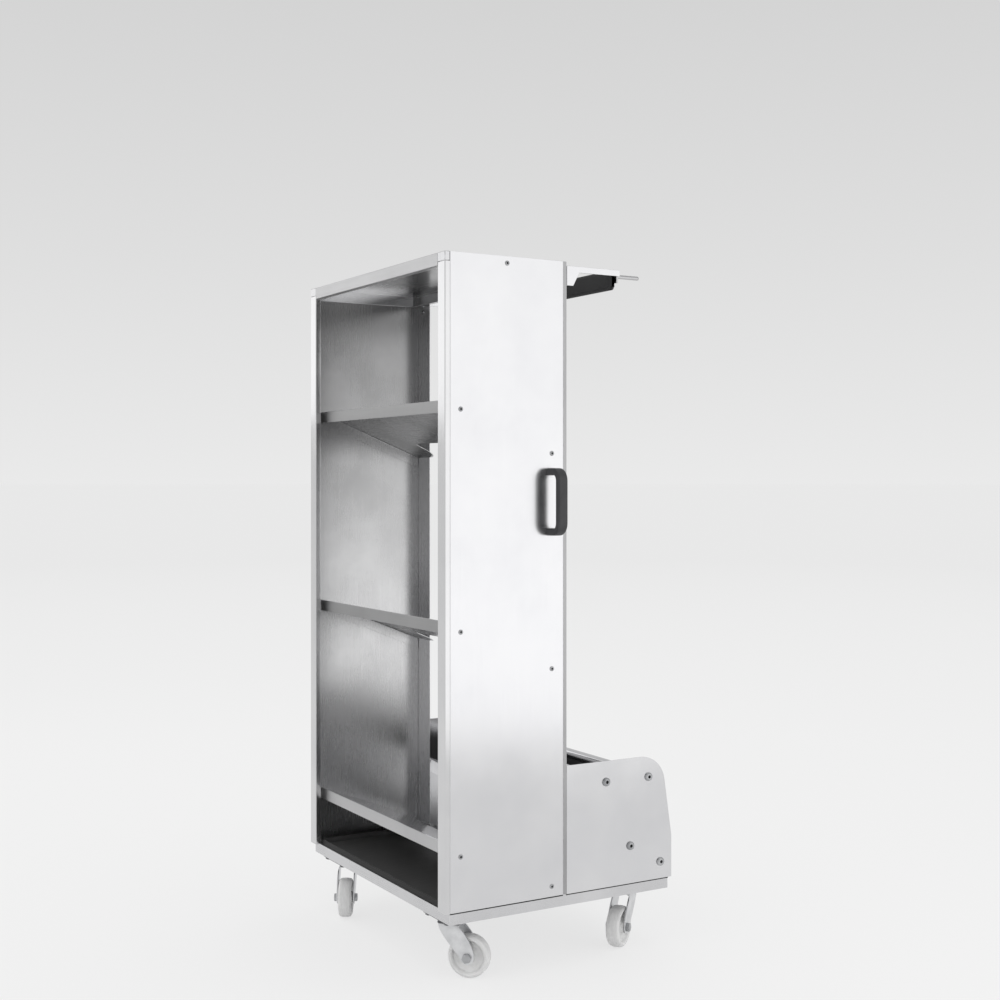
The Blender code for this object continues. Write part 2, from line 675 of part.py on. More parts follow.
def build_ski_trough():
    """Sloping floor for the ski tails, folded up behind them to the rear bar, and its mat."""
    angle, height_at = floor_line()
    half = FLOOR_SHEET / 2
    side = CHEEK_INNER - FIT_GAP - half
    front_reach = FIT_GAP + CHEEK_ANGLE_LEG + FLOOR_FLANGE * math.sin(angle) + FLOOR_FRONT_CLEARANCE
    front = y_at(CABINET_DEPTH + front_reach)
    rear = y_at(CABINET_DEPTH + FLOOR_REAR_REACH)
    front_z = height_at(front_reach)
    rear_z = height_at(FLOOR_REAR_REACH)
    relief_y = rear - CORNER_RELIEF
    relief_z = rear_z + CORNER_RELIEF * math.tan(angle)
    fold = side - CORNER_RELIEF
    outline = [(-side, front, front_z), (side, front, front_z), (side, relief_y, relief_z),
               (fold, rear, rear_z), (-fold, rear, rear_z), (-side, relief_y, relief_z)]
    drop = Vector((0, -math.sin(angle), -math.cos(angle))) * FLOOR_FLANGE
    wall_top_y = y_at(CABINET_DEPTH + REAR_BAR_REACH + BAR_DIAMETER / 2 + FIT_GAP * 2 + half)
    wall = (0, wall_top_y - rear, BAR_LEVEL - rear_z)
    folds = [(1, drop, drop), (3, wall, wall), (5, drop, drop)]
    trough = folded_sheet("ski_trough", POLISHED, outline, folds, FLOOR_SHEET, FOLD_RADIUS)
    for index, (reach, height) in enumerate(FLOOR_BOLTS):
        place = (0, y_at(CABINET_DEPTH + reach), SEAT + height)
        drill = cylinder(f"floor_bolt_drill_{index}", None, SHAFT_HOLE, CABINET_WIDTH, place, ALONG_X,
                         16, CUTTERS)
        combine(trough, drill, "DIFFERENCE")

    length = (FLOOR_REAR_REACH - front_reach) / math.cos(angle) - 2 * MAT_INSET
    middle = (front_reach + FLOOR_REAR_REACH) / 2
    lift = half + FIT_GAP + MAT_THICKNESS / 2
    centre = Vector((0, y_at(CABINET_DEPTH + middle), height_at(middle)))
    centre += Vector((0, math.sin(angle), math.cos(angle))) * lift
    bm = bmesh.new()
    bmesh.ops.create_cube(bm, size=1.0)
    bmesh.ops.scale(bm, vec=(2 * (side - MAT_INSET), length, MAT_THICKNESS), verts=bm.verts)
    mat = link_object("ski_floor_mat", mesh_from(bm, "ski_floor_mat"), BLACK_RUBBER, centre, (-angle, 0, 0))
    add_bevel(mat, MAT_THICKNESS / 4, 1)


def build_rack():
    """Two arms on the rear posts, a comb of tines between them and a soft rail in front of it."""
    half = ARM_SHEET / 2
    top = CABINET_TOP - ARM_TOP_DROP
    low = top - ARM_HEIGHT
    foot_low = top - ARM_FOOT_HEIGHT
    root = CABINET_DEPTH + FIT_GAP + half
    end = CABINET_DEPTH + ARM_REACH
    gusset = root + ARM_GUSSET
    for side_name, side in SIDES.items():
        x = side * (HALF_WIDTH - half)
        outline = [(x, y_at(depth), z) for depth, z in
                   ((root, foot_low), (gusset, foot_low), (gusset + ARM_GUSSET, low), (end, low),
                    (end, top), (root, top))]
        foot = (-side * (ARM_FOOT_WIDTH - half), 0, 0)
        folded_sheet(f"{side_name}_rack_arm", POLISHED, outline, [(5, foot, foot)], ARM_SHEET,
                     ARM_FOLD_RADIUS)

    span = HALF_WIDTH - ARM_SHEET - FIT_GAP
    comb_rear = end - COMB_END_INSET
    comb_front = comb_rear - COMB_THICKNESS
    comb = box("rack_comb", BRUSHED, (-span, y_at(comb_front), top - COMB_HEIGHT),
               (span, y_at(comb_rear), top))
    tine_z = top - TINE_DROP
    tine_start = comb_rear - COMB_THICKNESS / 2
    tine_end = comb_rear + TINE_LENGTH
    tines = tine_row("rack_tines", tine_start, tine_end, tine_z)
    combine(comb, tines, "UNION")

    pad_rear = comb_front - FIT_GAP
    pad_front = pad_rear - PAD_THICKNESS
    pad = box("rack_pad", BLACK_RUBBER, (-span, y_at(pad_front), top - PAD_HEIGHT),
              (span, y_at(pad_rear), top), PAD_THICKNESS / 4)
    pad.modifiers["rounded edges"].segments = 2


def tine_row(name, start, end, height):
    """Row of round tines, rooted inside the comb's bar."""
    bm = bmesh.new()
    radius = TINE_DIAMETER / 2
    for index in range(TINE_COUNT):
        x = (index - (TINE_COUNT - 1) / 2) * TINE_PITCH
        place = Matrix.Translation((x, y_at((start + end) / 2), height))
        turn = Matrix.Rotation(math.radians(-90), 4, "X")
        bmesh.ops.create_cone(bm, cap_ends=True, segments=12, radius1=radius, radius2=radius,
                              depth=end - start, matrix=place @ turn)
    return link_object(name, mesh_from(bm, name), None, collection=CUTTERS)


def castor_levels():
    """Heights of the castor's stack, from the base down to the kingpin's head."""
    plate_top = CASTOR_HEIGHT - FIT_GAP
    plate_bottom = plate_top - CASTOR_PLATE
    race_bottom = plate_bottom - RACE_HEIGHT
    crown_top = race_bottom - FIT_GAP
    crown_bottom = crown_top - FORK_CROWN
    return plate_top, plate_bottom, race_bottom, crown_top, crown_bottom


def build_castor_plate(name, x, y):
    """Top plate with its race and the kingpin that holds the fork."""
    plate_top, plate_bottom, race_bottom, crown_top, crown_bottom = castor_levels()
    outline = rounded_rectangle(CASTOR_PLATE_WIDTH, CASTOR_PLATE_DEPTH, CASTOR_PLATE_RADIUS)
    curve = plate_curve(f"{name}_top_plate", ZINC, [outline], CASTOR_PLATE,
                        (x, y, (plate_top + plate_bottom) / 2), (0, 0, 0))
    bpy.context.view_layer.update()
    plate = curve_to_mesh(curve)
    head_top = crown_bottom - FIT_GAP
    head_low = head_top - KINGPIN_HEAD_HEIGHT
    rooted = plate_bottom + CASTOR_PLATE / 2
    profile = [(0, rooted), (RACE_RADIUS, rooted), (RACE_RADIUS, race_bottom + RACE_CHAMFER),
               (RACE_RADIUS - RACE_CHAMFER, race_bottom), (KINGPIN_RADIUS, race_bottom),
               (KINGPIN_RADIUS, head_top),
               (KINGPIN_HEAD_RADIUS, head_top), (KINGPIN_HEAD_RADIUS, head_low), (0, head_low)]
    race = turned(f"{name}_race", None, profile, ROUND_STEPS, (x, y, 0), collection=CUTTERS)
    combine(plate, race, "UNION")


def build_castor(name, x, y, heading):
    """Plate, swivelling fork, axle bolt and wheel. The fork's empty stands on the swivel axis."""
    build_castor_plate(name, x, y)
    plate_top, plate_bottom, race_bottom, crown_top, crown_bottom = castor_levels()
    axle_height = WHEEL_DIAMETER / 2
    inner = WHEEL_WIDTH / 2 + WHEEL_SIDE_CLEARANCE
    swivel = bpy.data.objects.new(f"{name}_swivel", None)
    swivel.location = (x, y, 0)
    swivel.rotation_euler = (0, 0, heading)
    PARTS.objects.link(swivel)

    hole = KINGPIN_RADIUS + HOLE_CLEARANCE
    crown = [(FORK_CROWN_RADIUS, crown_top), (FORK_CROWN_RADIUS, crown_bottom), (hole, crown_bottom),
             (hole, crown_top)]
    fork = turned(f"{name}_fork", ZINC, crown, ROUND_STEPS, closed=True)
    leg_root = crown_bottom + FORK_CROWN / 2
    tip = arc((CASTOR_TRAIL, axle_height), FORK_EYE_RADIUS, -120, 50, 8)
    leg_outline = [(-FORK_LEG_TOP / 2, leg_root), (-FORK_LEG_TOP / 2, crown_bottom - FORK_LEG)] + tip
    leg_outline += [(FORK_LEG_TOP / 2, crown_bottom - FORK_LEG), (FORK_LEG_TOP / 2, leg_root)]
    axle_hole = circle((CASTOR_TRAIL, axle_height), AXLE_RADIUS + HOLE_CLEARANCE)
    for label, sign in (("near", 1), ("far", -1)):
        offset = sign * (inner + FORK_LEG / 2)
        curve = plate_curve(f"{name}_fork_leg_{label}", ZINC, [leg_outline, axle_hole], FORK_LEG,
                            (0, offset, 0), (math.radians(90), 0, 0), CUTTERS)
        bpy.context.view_layer.update()
        leg = curve_to_mesh(curve)
        leg.parent = swivel
        combine(fork, leg, "UNION")
    fork.parent = swivel

    along_axle = (math.radians(90), 0, 0)
    centre = (CASTOR_TRAIL, 0, axle_height)
    bolt_half = inner + FORK_LEG + FIT_GAP
    axle = cylinder(f"{name}_axle", ZINC, AXLE_RADIUS, 2 * bolt_half + AXLE_HEAD_HEIGHT, centre, along_axle)
    axle.parent = swivel
    for label, sign in (("head", 1), ("nut", -1)):
        offset = sign * (bolt_half + AXLE_HEAD_HEIGHT / 2)
        head = cylinder(f"{name}_axle_{label}", None, AXLE_HEAD_RADIUS, AXLE_HEAD_HEIGHT,
                        (CASTOR_TRAIL, offset, axle_height), along_axle, 6, CUTTERS)
        head.parent = swivel
        combine(axle, head, "UNION")

    wheel = turned(f"{name}_wheel", WHITE_POLYAMIDE, wheel_profile(), WHEEL_STEPS, centre, along_axle,
                   closed=True)
    wheel.parent = swivel


def wheel_profile():
    """Half section of the wheel: tread, recessed web and hub, with its bore."""
    radius = WHEEL_DIAMETER / 2
    half = WHEEL_WIDTH / 2
    hub_half = half + WHEEL_HUB_OVERHANG
    web = WHEEL_WEB / 2
    edge = WHEEL_EDGE_RADIUS
    bore = AXLE_RADIUS + HOLE_CLEARANCE
    shoulder = arc((radius - edge, half - edge), edge, 90, 0, 2)
    upper = [(bore, hub_half), (WHEEL_HUB_RADIUS, hub_half), (WHEEL_HUB_RADIUS + WHEEL_DRAFT, web)]
    upper += [(WHEEL_RIM_RADIUS - WHEEL_DRAFT, web), (WHEEL_RIM_RADIUS, half)] + shoulder
    lower = [(point_radius, -height) for point_radius, height in reversed(upper)]
    return upper + lower


def build_castors():
    build_castor_channel("front_castor_channel", FRONT_CASTOR_DEPTH)
    build_castor_channel("rear_castor_channel", REAR_CASTOR_DEPTH)
    right = HALF_WIDTH - CASTOR_SIDE_INSET
    places = {
        "front_right": (right, y_at(FRONT_CASTOR_DEPTH)),
        "front_left": (-right, y_at(FRONT_CASTOR_DEPTH)),
        "rear_right": (right, y_at(REAR_CASTOR_DEPTH)),
        "rear_left": (-right, y_at(REAR_CASTOR_DEPTH)),
    }
    for name, (x, y) in places.items():
        build_castor(name, x, y, CASTOR_HEADINGS[name])


def build_trolley():
    build_base()
    build_drip_tray()
    for side_name, side in SIDES.items():
        build_side(side_name, side)
        build_handle(side_name, side)
        build_cheek(side_name, side)
    build_top()
    for index, name in enumerate(SHELF_NAMES):
        build_shelf(name, BASE_TOP + LOWEST_LIP_TOP + index * SHELF_PITCH)
    build_ski_bars()
    build_ski_trough()
    build_rack()
    build_castors()
    bpy.context.view_layer.update()


build_trolley()
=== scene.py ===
"""Looks of the ski and boot trolley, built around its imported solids.

Lengths are in metres: +X is right, +Y is to the rear, +Z is up, and the origin is on the floor.
"""
import json
import math
import random

import bmesh
import bpy
from mathutils import Matrix, Vector

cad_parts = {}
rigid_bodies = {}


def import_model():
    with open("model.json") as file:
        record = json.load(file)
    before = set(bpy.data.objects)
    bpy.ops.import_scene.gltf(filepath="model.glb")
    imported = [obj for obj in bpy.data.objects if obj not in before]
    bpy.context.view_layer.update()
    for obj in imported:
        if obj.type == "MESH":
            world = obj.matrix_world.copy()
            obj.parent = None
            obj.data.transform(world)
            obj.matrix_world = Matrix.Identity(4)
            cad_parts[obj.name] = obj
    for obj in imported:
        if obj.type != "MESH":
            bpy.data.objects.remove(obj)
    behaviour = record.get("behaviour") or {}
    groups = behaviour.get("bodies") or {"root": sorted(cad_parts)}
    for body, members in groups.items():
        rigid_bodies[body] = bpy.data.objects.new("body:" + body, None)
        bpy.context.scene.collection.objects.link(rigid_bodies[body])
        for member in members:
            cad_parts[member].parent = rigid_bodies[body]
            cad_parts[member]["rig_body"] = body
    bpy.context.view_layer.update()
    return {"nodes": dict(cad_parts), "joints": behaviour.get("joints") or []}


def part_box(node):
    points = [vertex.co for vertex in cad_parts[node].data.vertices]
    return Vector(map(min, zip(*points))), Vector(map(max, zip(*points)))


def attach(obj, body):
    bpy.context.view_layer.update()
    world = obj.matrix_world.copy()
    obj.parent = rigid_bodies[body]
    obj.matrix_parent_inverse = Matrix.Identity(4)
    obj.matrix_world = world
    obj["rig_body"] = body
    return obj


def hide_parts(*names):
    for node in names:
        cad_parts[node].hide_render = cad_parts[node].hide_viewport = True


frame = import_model()
NODES = frame["nodes"]
JOINTS = {joint["name"]: joint for joint in frame["joints"]}
SIDES = {"right": 1, "left": -1}
CASTORS = ("front_right", "front_left", "rear_right", "rear_left")

# Edges that turn by more than these angles, in degrees, are shaded sharp or rounded off
SHARP_ANGLE = 38
CORNER_ANGLE = 50
# Faces within this angle are flat, and count as facing a direction above this cosine
FLAT_ANGLE = 0.4
FACING_COSINE = 0.85
MERGE_DISTANCE = 0.000001
FINE_EDGE = 0.0003
SHEET_EDGE = 0.0004
HEAVY_EDGE = 0.0006

# Base seams, drawn as a dark strip that is a painted shadow of the gap: the strip's upper level,
# its height and how far it stands out
SEAM_TOP = 0.1421
SEAM_HEIGHT = 0.0024
SEAM_DEPTH = 0.0012
SEAM_SLANT = (0.0004, 0.0003)

# Handles
HANDLE_GRIP = 0.013
HANDLE_LEG = 0.014
HANDLE_BEND = 0.0175
HANDLE_CORNER = 0.0042
HANDLE_BEND_STEPS = 7

# Fasteners: the bolts of the stand, the small screws of the cladding and those of the rack arms
SOCKET_STEPS = 24
BOLT_HEAD_HEIGHT = 0.0045
BOLT_SOCKET = 0.0033
BOLT_SHANK = 0.004
SCREW_HEAD = 0.0048
SCREW_HEAD_HEIGHT = 0.0018
SCREW_SOCKET = 0.0021
CABINET_FRONT = -0.2605
SCREW_COLUMNS = (
    # Distance behind the cabinet's front, and heights above the floor
    (0.0335, (1.0777, 0.6631, 0.2454)),
    (0.234, (0.9973, 0.5821, 0.1623)),
)
TOP_SCREW_DEPTH = 0.134
TOP_SCREW_DROP = 0.0135
ARM_SCREW_X = 0.286
ARM_SCREW_LEVELS = (1.346, 1.332)
ARM_SCREW_HEAD = 0.0045
ARM_SCREW_HEAD_HEIGHT = 0.0025
ARM_SCREW_SOCKET = 0.0020
ARM_SCREW_END = 0.0025
ARM_SCREW_REACH = 0.0062
ARM_NUT = 0.0052
ARM_NUT_HEIGHT = 0.0038
POST_SHEET = 0.0015
ARM_SHEET = 0.003

# Ski bars, comb, rail pad and floor mat
BAR_CHAMFER = 0.0006
BAR_STEPS = 48
COMB_THICKNESS = 0.004
COMB_HEIGHT = 0.025
TINE_COUNT = 7
TINE_PITCH = 0.100
TINE_RADIUS = 0.004
TINE_STEPS = 28
TINE_DROP = 0.011
WELD_BEAD = ((0.0026, -0.0002), (0.0021, 0.0009), (0.0009, 0.0018), (0.0, 0.0028))
PAD_ROWS = 72
PAD_CORNER = 0.0058
PAD_END_LENGTH = 0.007
PAD_END_SHRINK = 0.0055
PAD_FRONT_INSET = 0.0009
PAD_CROWN = 0.0006
PAD_SWELL = 0.0005
PAD_SWAY = 0.00012
PAD_WAVES = 12
PAD_SEED = 7
RIB_PITCH = 0.0058
RIB_DEPTH = 0.0011
RIB_FOOT = (0.0010, 0.0048)
RIB_TOP = (0.0016, 0.0042)
MAT_MARGIN = 0.006
MAT_EDGE = 0.00035
MAT_EDGE_ANGLE = 30

# Castors
CASTOR_PLATE = 0.004
PLATE_BOLT_X = 0.0375
PLATE_BOLT_Y = 0.0290
PLATE_WASHER = 0.0080
PLATE_WASHER_LEVEL = 0.0012
PLATE_NUT = 0.0064
PLATE_NUT_LEVEL = 0.0050
PLATE_NUT_TURN = 0.3
PLATE_BOLT_END = 0.0036
PLATE_BOLT_LEVEL = 0.0066
CROWN_LEVEL = 0.1046
KINGPIN_STEPS = 32
KINGPIN_HEAD = ((0, 0.1022), (0.0115, 0.1022), (0.0115, 0.1000), (0.0075, 0.0985), (0, 0.0985))
FORK_SHEET = 0.003
FORK_HALF_GAP = 0.0177
FORK_CROWN_RADIUS = 0.027
FORK_EYE_RADIUS = 0.014
FORK_BEND = 0.006
FORK_BEND_STEPS = 5
FORK_FOOT = 0.027
FORK_ROWS = 12
FORK_COLUMNS = 14
AXLE_RADIUS = 0.0049
AXLE_STEPS = 24
AXLE_GAP = 0.0003
AXLE_NUT = 0.0092
AXLE_NUT_HEIGHT = 0.0050
AXLE_NUT_TURN = 0.2
AXLE_NUT_DOME = ((0.0078, 0.0050), (0.0070, 0.0056), (0, 0.0058))
WHEEL_RADIUS = 0.041
WHEEL_HALF_WIDTH = 0.014
WHEEL_HUB_OVERHANG = 0.0006
WHEEL_BORE = 0.0053
WHEEL_ROUNDING = 0.0014
WHEEL_STEPS = 72

# Stage: levels are linear brightness, angles are in degrees
AMBIENT = 0.95
PALE_SHARE = 0.78
FLOOR_RADIUS = 400.0
FLOOR_STEPS = 64
FLOOR_FADE = (2.5, 14.0)
FLOOR_LEVELS = (0.875, 0.825)
SKY_LEVELS = ((0.0, 0.82), (0.15, 0.735), (0.32, 0.655), (1.0, 0.60))
# An area lamp's power is its brightness times its area times this
LAMP_POWER = 4
LAMPS = (
    # Name, place, target, width, height, brightness
    ("right_softbox", (1.5, 0.62, 1.12), (0.3, -0.12, 1.12), 1.6, 1.84, 0.42),
    ("front_softbox", (0.4, -3.6, 2.0), (0, 0, 1.2), 2.6, 2.4, 0.35),
    ("left_softbox", (-3.0, -1.9, 1.95), (0.1, -0.26, 1.25), 2.4, 1.5, 0.45),
    ("top_softbox", (0.0, 0.0, 3.6), (0, 0, 0), 2.4, 2.4, 0.45),
)
CAMERA_PLACE = (2.6673, -1.5230, 0.944)
CAMERA_TILT = 90
CAMERA_HEADING = 59.59
CAMERA_LENS = 52.02
CAMERA_SENSOR = 36.0
CAMERA_SHIFT = -0.019
CAMERA_REACH = 1000.0

# Frames for outlines that are extruded along X, as (y, z), and along Y, as (x, z)
ALONG_X = Matrix(((0, 0, 1, 0), (1, 0, 0, 0), (0, 1, 0, 0), (0, 0, 0, 1)))
ALONG_Y = Matrix(((1, 0, 0, 0), (0, 0, 1, 0), (0, 1, 0, 0), (0, 0, 0, 1)))


# Materials
def set_stops(ramp, stops):
    """Fill a colour ramp with (position, (r, g, b)) stops."""
    for element, (position, colour) in zip(ramp.elements, stops):
        element.position = position
        element.color = (*colour, 1.0)
    for position, colour in stops[2:]:
        ramp.elements.new(position).color = (*colour, 1.0)


class Finish:
    """A Principled material and short ways to add procedural detail to it."""

    def __init__(self, name, roughness=0.5, metallic=0.0, **values):
        self.material = bpy.data.materials.new(name)
        self.material.use_nodes = True
        self.tree = self.material.node_tree
        self.shader = self.tree.nodes["Principled BSDF"]
        self.shader.inputs["Roughness"].default_value = roughness
        self.shader.inputs["Metallic"].default_value = metallic
        for socket, value in values.items():
            self.shader.inputs[socket.replace("_", " ")].default_value = value
        self.coordinates = self.tree.nodes.new("ShaderNodeTexCoord").outputs["Object"]

    def link(self, output, node_input):
        self.tree.links.new(output, node_input)

    def noise(self, scale, stretch=(1, 1, 1), detail=3.0, roughness=0.5):
        """Noise in the object's own coordinates, stretched along its axes."""
        mapping = self.tree.nodes.new("ShaderNodeMapping")
        mapping.inputs["Scale"].default_value = stretch
        self.link(self.coordinates, mapping.inputs["Vector"])
        texture = self.tree.nodes.new("ShaderNodeTexNoise")
        texture.inputs["Scale"].default_value = scale
        texture.inputs["Detail"].default_value = detail
        texture.inputs["Roughness"].default_value = roughness
        self.link(mapping.outputs["Vector"], texture.inputs["Vector"])
        return texture.outputs["Fac"]

    def cells(self, scale):
        """Distance to the middle of each cell of a Voronoi pattern."""
        texture = self.tree.nodes.new("ShaderNodeTexVoronoi")
        texture.inputs["Scale"].default_value = scale
        self.link(self.coordinates, texture.inputs["Vector"])
        return texture.outputs["Distance"]

    def height(self):
        """Height above the floor at rest."""
        split = self.tree.nodes.new("ShaderNodeSeparateXYZ")
        self.link(self.coordinates, split.inputs["Vector"])
        return split.outputs["Z"]

    def spread(self, value, low, high, start=0.3, end=0.7):
        """Map a texture's start..end to low..high."""
        node = self.tree.nodes.new("ShaderNodeMapRange")
        numbers = {"From Min": start, "From Max": end, "To Min": low, "To Max": high}
        for socket, number in numbers.items():
            node.inputs[socket].default_value = number
        self.link(value, node.inputs["Value"])
        return node.outputs["Result"]

    def total(self, first, second, operation="ADD"):
        """Sum or product of two varying values."""
        node = self.tree.nodes.new("ShaderNodeMath")
        node.operation = operation
        self.link(first, node.inputs[0])
        self.link(second, node.inputs[1])
        return node.outputs["Value"]

    def colours(self, value, stops):
        """Colour ramp from (position, (r, g, b)) stops into the base colour."""
        node = self.tree.nodes.new("ShaderNodeValToRGB")
        set_stops(node.color_ramp, stops)
        self.link(value, node.inputs["Fac"])
        self.link(node.outputs["Color"], self.shader.inputs["Base Color"])

    def roughness(self, value):
        self.link(value, self.shader.inputs["Roughness"])

    def relief(self, layers):
        """Chain of bumps from (height output, distance, strength) layers into the normal."""
        previous = None
        for height, distance, strength in layers:
            bump = self.tree.nodes.new("ShaderNodeBump")
            bump.inputs["Distance"].default_value = distance
            bump.inputs["Strength"].default_value = strength
            self.link(height, bump.inputs["Height"])
            if previous:
                self.link(previous, bump.inputs["Normal"])
            previous = bump.outputs["Normal"]
        self.link(previous, self.shader.inputs["Normal"])


def sheet_steel(name, grain, light, dark, smooth, rough, wave=0.0004):
    """Stainless sheet: rolled grain, hand marks and a faintly uneven surface."""
    finish = Finish(name, metallic=1.0)
    streaks = finish.noise(1.0, grain, detail=4.0, roughness=0.65)
    marks = finish.noise(7.0, detail=5.0, roughness=0.6)
    sway = finish.noise(2.6, detail=1.0)
    finish.colours(marks, ((0.30, dark), (0.68, light)))
    grain_part = finish.spread(streaks, smooth, rough)
    mark_part = finish.spread(marks, 0.0, (rough - smooth) * 0.8, 0.45, 0.75)
    finish.roughness(finish.total(grain_part, mark_part))
    finish.relief(((sway, wave, 1.0), (streaks, 0.00001, 0.6)))
    return finish.material


def shaded_inner_sheet(name, grain):
    """Duller mill finish of the cabinet's inside; its colour carries painted shade, brighter low
    down than in the upper part.
    """
    finish = Finish(name, metallic=1.0)
    streaks = finish.noise(1.0, grain, detail=3.0)
    marks = finish.noise(6.0, detail=5.0, roughness=0.6)
    sway = finish.noise(2.2, detail=1.0)
    # Painted shade: the colour darkens with the height above the floor
    level = finish.spread(finish.height(), 0.0, 0.85, *INNER_PAINTED_SHADE_FADE)
    tone = finish.total(level, finish.spread(marks, 0.0, 0.15))
    finish.colours(tone, ((0.05, INNER_LOW), (0.95, INNER_HIGH_PAINTED_SHADE)))
    grain_part = finish.spread(streaks, 0.20, 0.24)
    finish.roughness(finish.total(grain_part, finish.spread(marks, 0.0, 0.08)))
    finish.relief(((sway, 0.0003, 1.0), (streaks, 0.00001, 0.15)))
    return finish.material


def worn_edge(name, light, dark, smooth, rough):
    """Edge of a sheet, rubbed brighter in places."""
    finish = Finish(name, metallic=1.0)
    rub = finish.noise(90.0, detail=5.0, roughness=0.7)
    finish.colours(rub, ((0.35, dark), (0.6, light)))
    finish.roughness(finish.spread(rub, smooth, rough))
    finish.relief(((rub, 0.00004, 0.5),))
    return finish.material


def zinc_plate(name, dark, light, smooth, rough):
    """Zinc with a fine spangle and handling marks."""
    finish = Finish(name, metallic=1.0)
    spangle = finish.cells(520.0)
    marks = finish.noise(38.0, detail=5.0)
    finish.colours(marks, ((0.32, dark), (0.66, light)))
    finish.roughness(finish.spread(marks, smooth, rough))
    finish.relief(((spangle, 0.00003, 0.5), (marks, 0.00005, 0.4)))
    return finish.material


def moulded_plastic():
    """Glass-filled black plastic with a fine eroded grain."""
    finish = Finish("moulded_black_plastic", Specular_IOR_Level=0.5)
    grain = finish.noise(1500.0, detail=2.0)
    pits = finish.cells(1300.0)
    wear = finish.noise(26.0, detail=6.0, roughness=0.65)
    finish.colours(wear, ((0.35, (0.018, 0.018, 0.020)), (0.72, (0.040, 0.040, 0.043))))
    finish.roughness(finish.spread(wear, 0.36, 0.56))
    finish.relief(((pits, 0.00006, 0.6), (grain, 0.00003, 0.5)))
    return finish.material


def rubber(name, dust):
    """Black rubber with grey dust in its texture."""
    finish = Finish(name)
    grain = finish.noise(900.0, detail=3.0, roughness=0.7)
    patches = finish.noise(14.0, detail=6.0, roughness=0.7)
    finish.colours(patches, ((0.36, (0.012, 0.012, 0.013)), (0.78, (dust, dust, dust * 1.02))))
    finish.roughness(finish.spread(patches, 0.66, 0.88))
    finish.relief(((grain, 0.00012, 0.7),))
    return finish.material


def tray_coating(name, dark, light, shine):
    """Black powder coating: orange peel and faint scratches."""
    finish = Finish(name, Specular_IOR_Level=shine)
    peel = finish.noise(420.0, detail=1.0)
    scratches = finish.noise(1.0, (900, 12, 30), detail=4.0, roughness=0.75)
    finish.colours(scratches, ((0.50, (dark, dark, dark)), (0.78, (light, light, light))))
    finish.roughness(finish.spread(scratches, 0.34, 0.58))
    finish.relief(((peel, 0.00008, 0.6), (scratches, 0.00002, 0.5)))
    return finish.material


def chipped_coating():
    """Tray edges, where the coating has rubbed through in places."""
    finish = Finish("rubbed_coating_edge", roughness=0.45)
    chips = finish.noise(120.0, detail=6.0, roughness=0.75)
    finish.colours(chips, ((0.52, (0.02, 0.02, 0.021)), (0.66, (0.22, 0.22, 0.23))))
    finish.roughness(finish.spread(chips, 0.5, 0.3))
    finish.relief(((chips, 0.00005, 0.5),))
    return finish.material


def polyamide():
    """Milky wheel plastic with scuffs and floor dust."""
    finish = Finish("milky_polyamide", Subsurface_Weight=0.25, Subsurface_Scale=0.001,
                    Subsurface_Radius=(1.0, 1.0, 1.0))
    scuffs = finish.noise(60.0, (1, 1, 4), detail=6.0, roughness=0.7)
    clouds = finish.noise(18.0, detail=3.0)
    tone = finish.total(scuffs, clouds, "MULTIPLY")
    finish.colours(tone, ((0.12, (0.61, 0.61, 0.608)), (0.34, (0.75, 0.75, 0.747))))
    finish.roughness(finish.spread(scuffs, 0.28, 0.50))
    finish.relief(((scuffs, 0.00008, 0.4),))
    return finish.material


GRAIN_UP = (900, 900, 6)
GRAIN_ACROSS = (6, 900, 900)
TRIM_WAVE = 0.0001
STEEL_LIGHT = (0.71, 0.71, 0.72)
STEEL_DARK = (0.66, 0.66, 0.675)
TRIM_LIGHT = (0.66, 0.66, 0.67)
TRIM_DARK = (0.58, 0.58, 0.59)
# Inside sheet colours low down and high up, and the heights over which the colour darkens between
# them: painted shade
INNER_LOW = (0.62, 0.62, 0.625)
INNER_HIGH_PAINTED_SHADE = (0.27, 0.27, 0.272)
INNER_PAINTED_SHADE_FADE = (0.50, 1.20)
UPRIGHT = sheet_steel("polished_sheet_upright", (700, 700, 9), STEEL_LIGHT, STEEL_DARK, 0.17, 0.23)
ACROSS = sheet_steel("polished_sheet_across", (9, 700, 700), STEEL_LIGHT, STEEL_DARK, 0.06, 0.15)
TRIM_UPRIGHT = sheet_steel("brushed_trim_upright", GRAIN_UP, TRIM_LIGHT, TRIM_DARK,
                           0.20, 0.36, TRIM_WAVE)
TRIM_ACROSS = sheet_steel("brushed_trim_across", GRAIN_ACROSS, TRIM_LIGHT, TRIM_DARK,
                          0.20, 0.36, TRIM_WAVE)
POST_TRIM = sheet_steel("polished_post_trim", GRAIN_UP, (0.68, 0.68, 0.685), (0.62, 0.62, 0.63),
                        0.10, 0.20, TRIM_WAVE)
# Darker copy of the post steel for the rear posts' outward faces: painted shade
POST_SIDE_PAINTED_SHADE = sheet_steel("brushed_post_side_painted_shade", GRAIN_UP, (0.40, 0.40, 0.405), (0.34, 0.34, 0.345),
                        0.26, 0.40, TRIM_WAVE)
RAIL_TRIM = sheet_steel("brushed_rail_trim", GRAIN_ACROSS, (0.52, 0.52, 0.525),
                        (0.46, 0.46, 0.465), 0.28, 0.42, TRIM_WAVE)
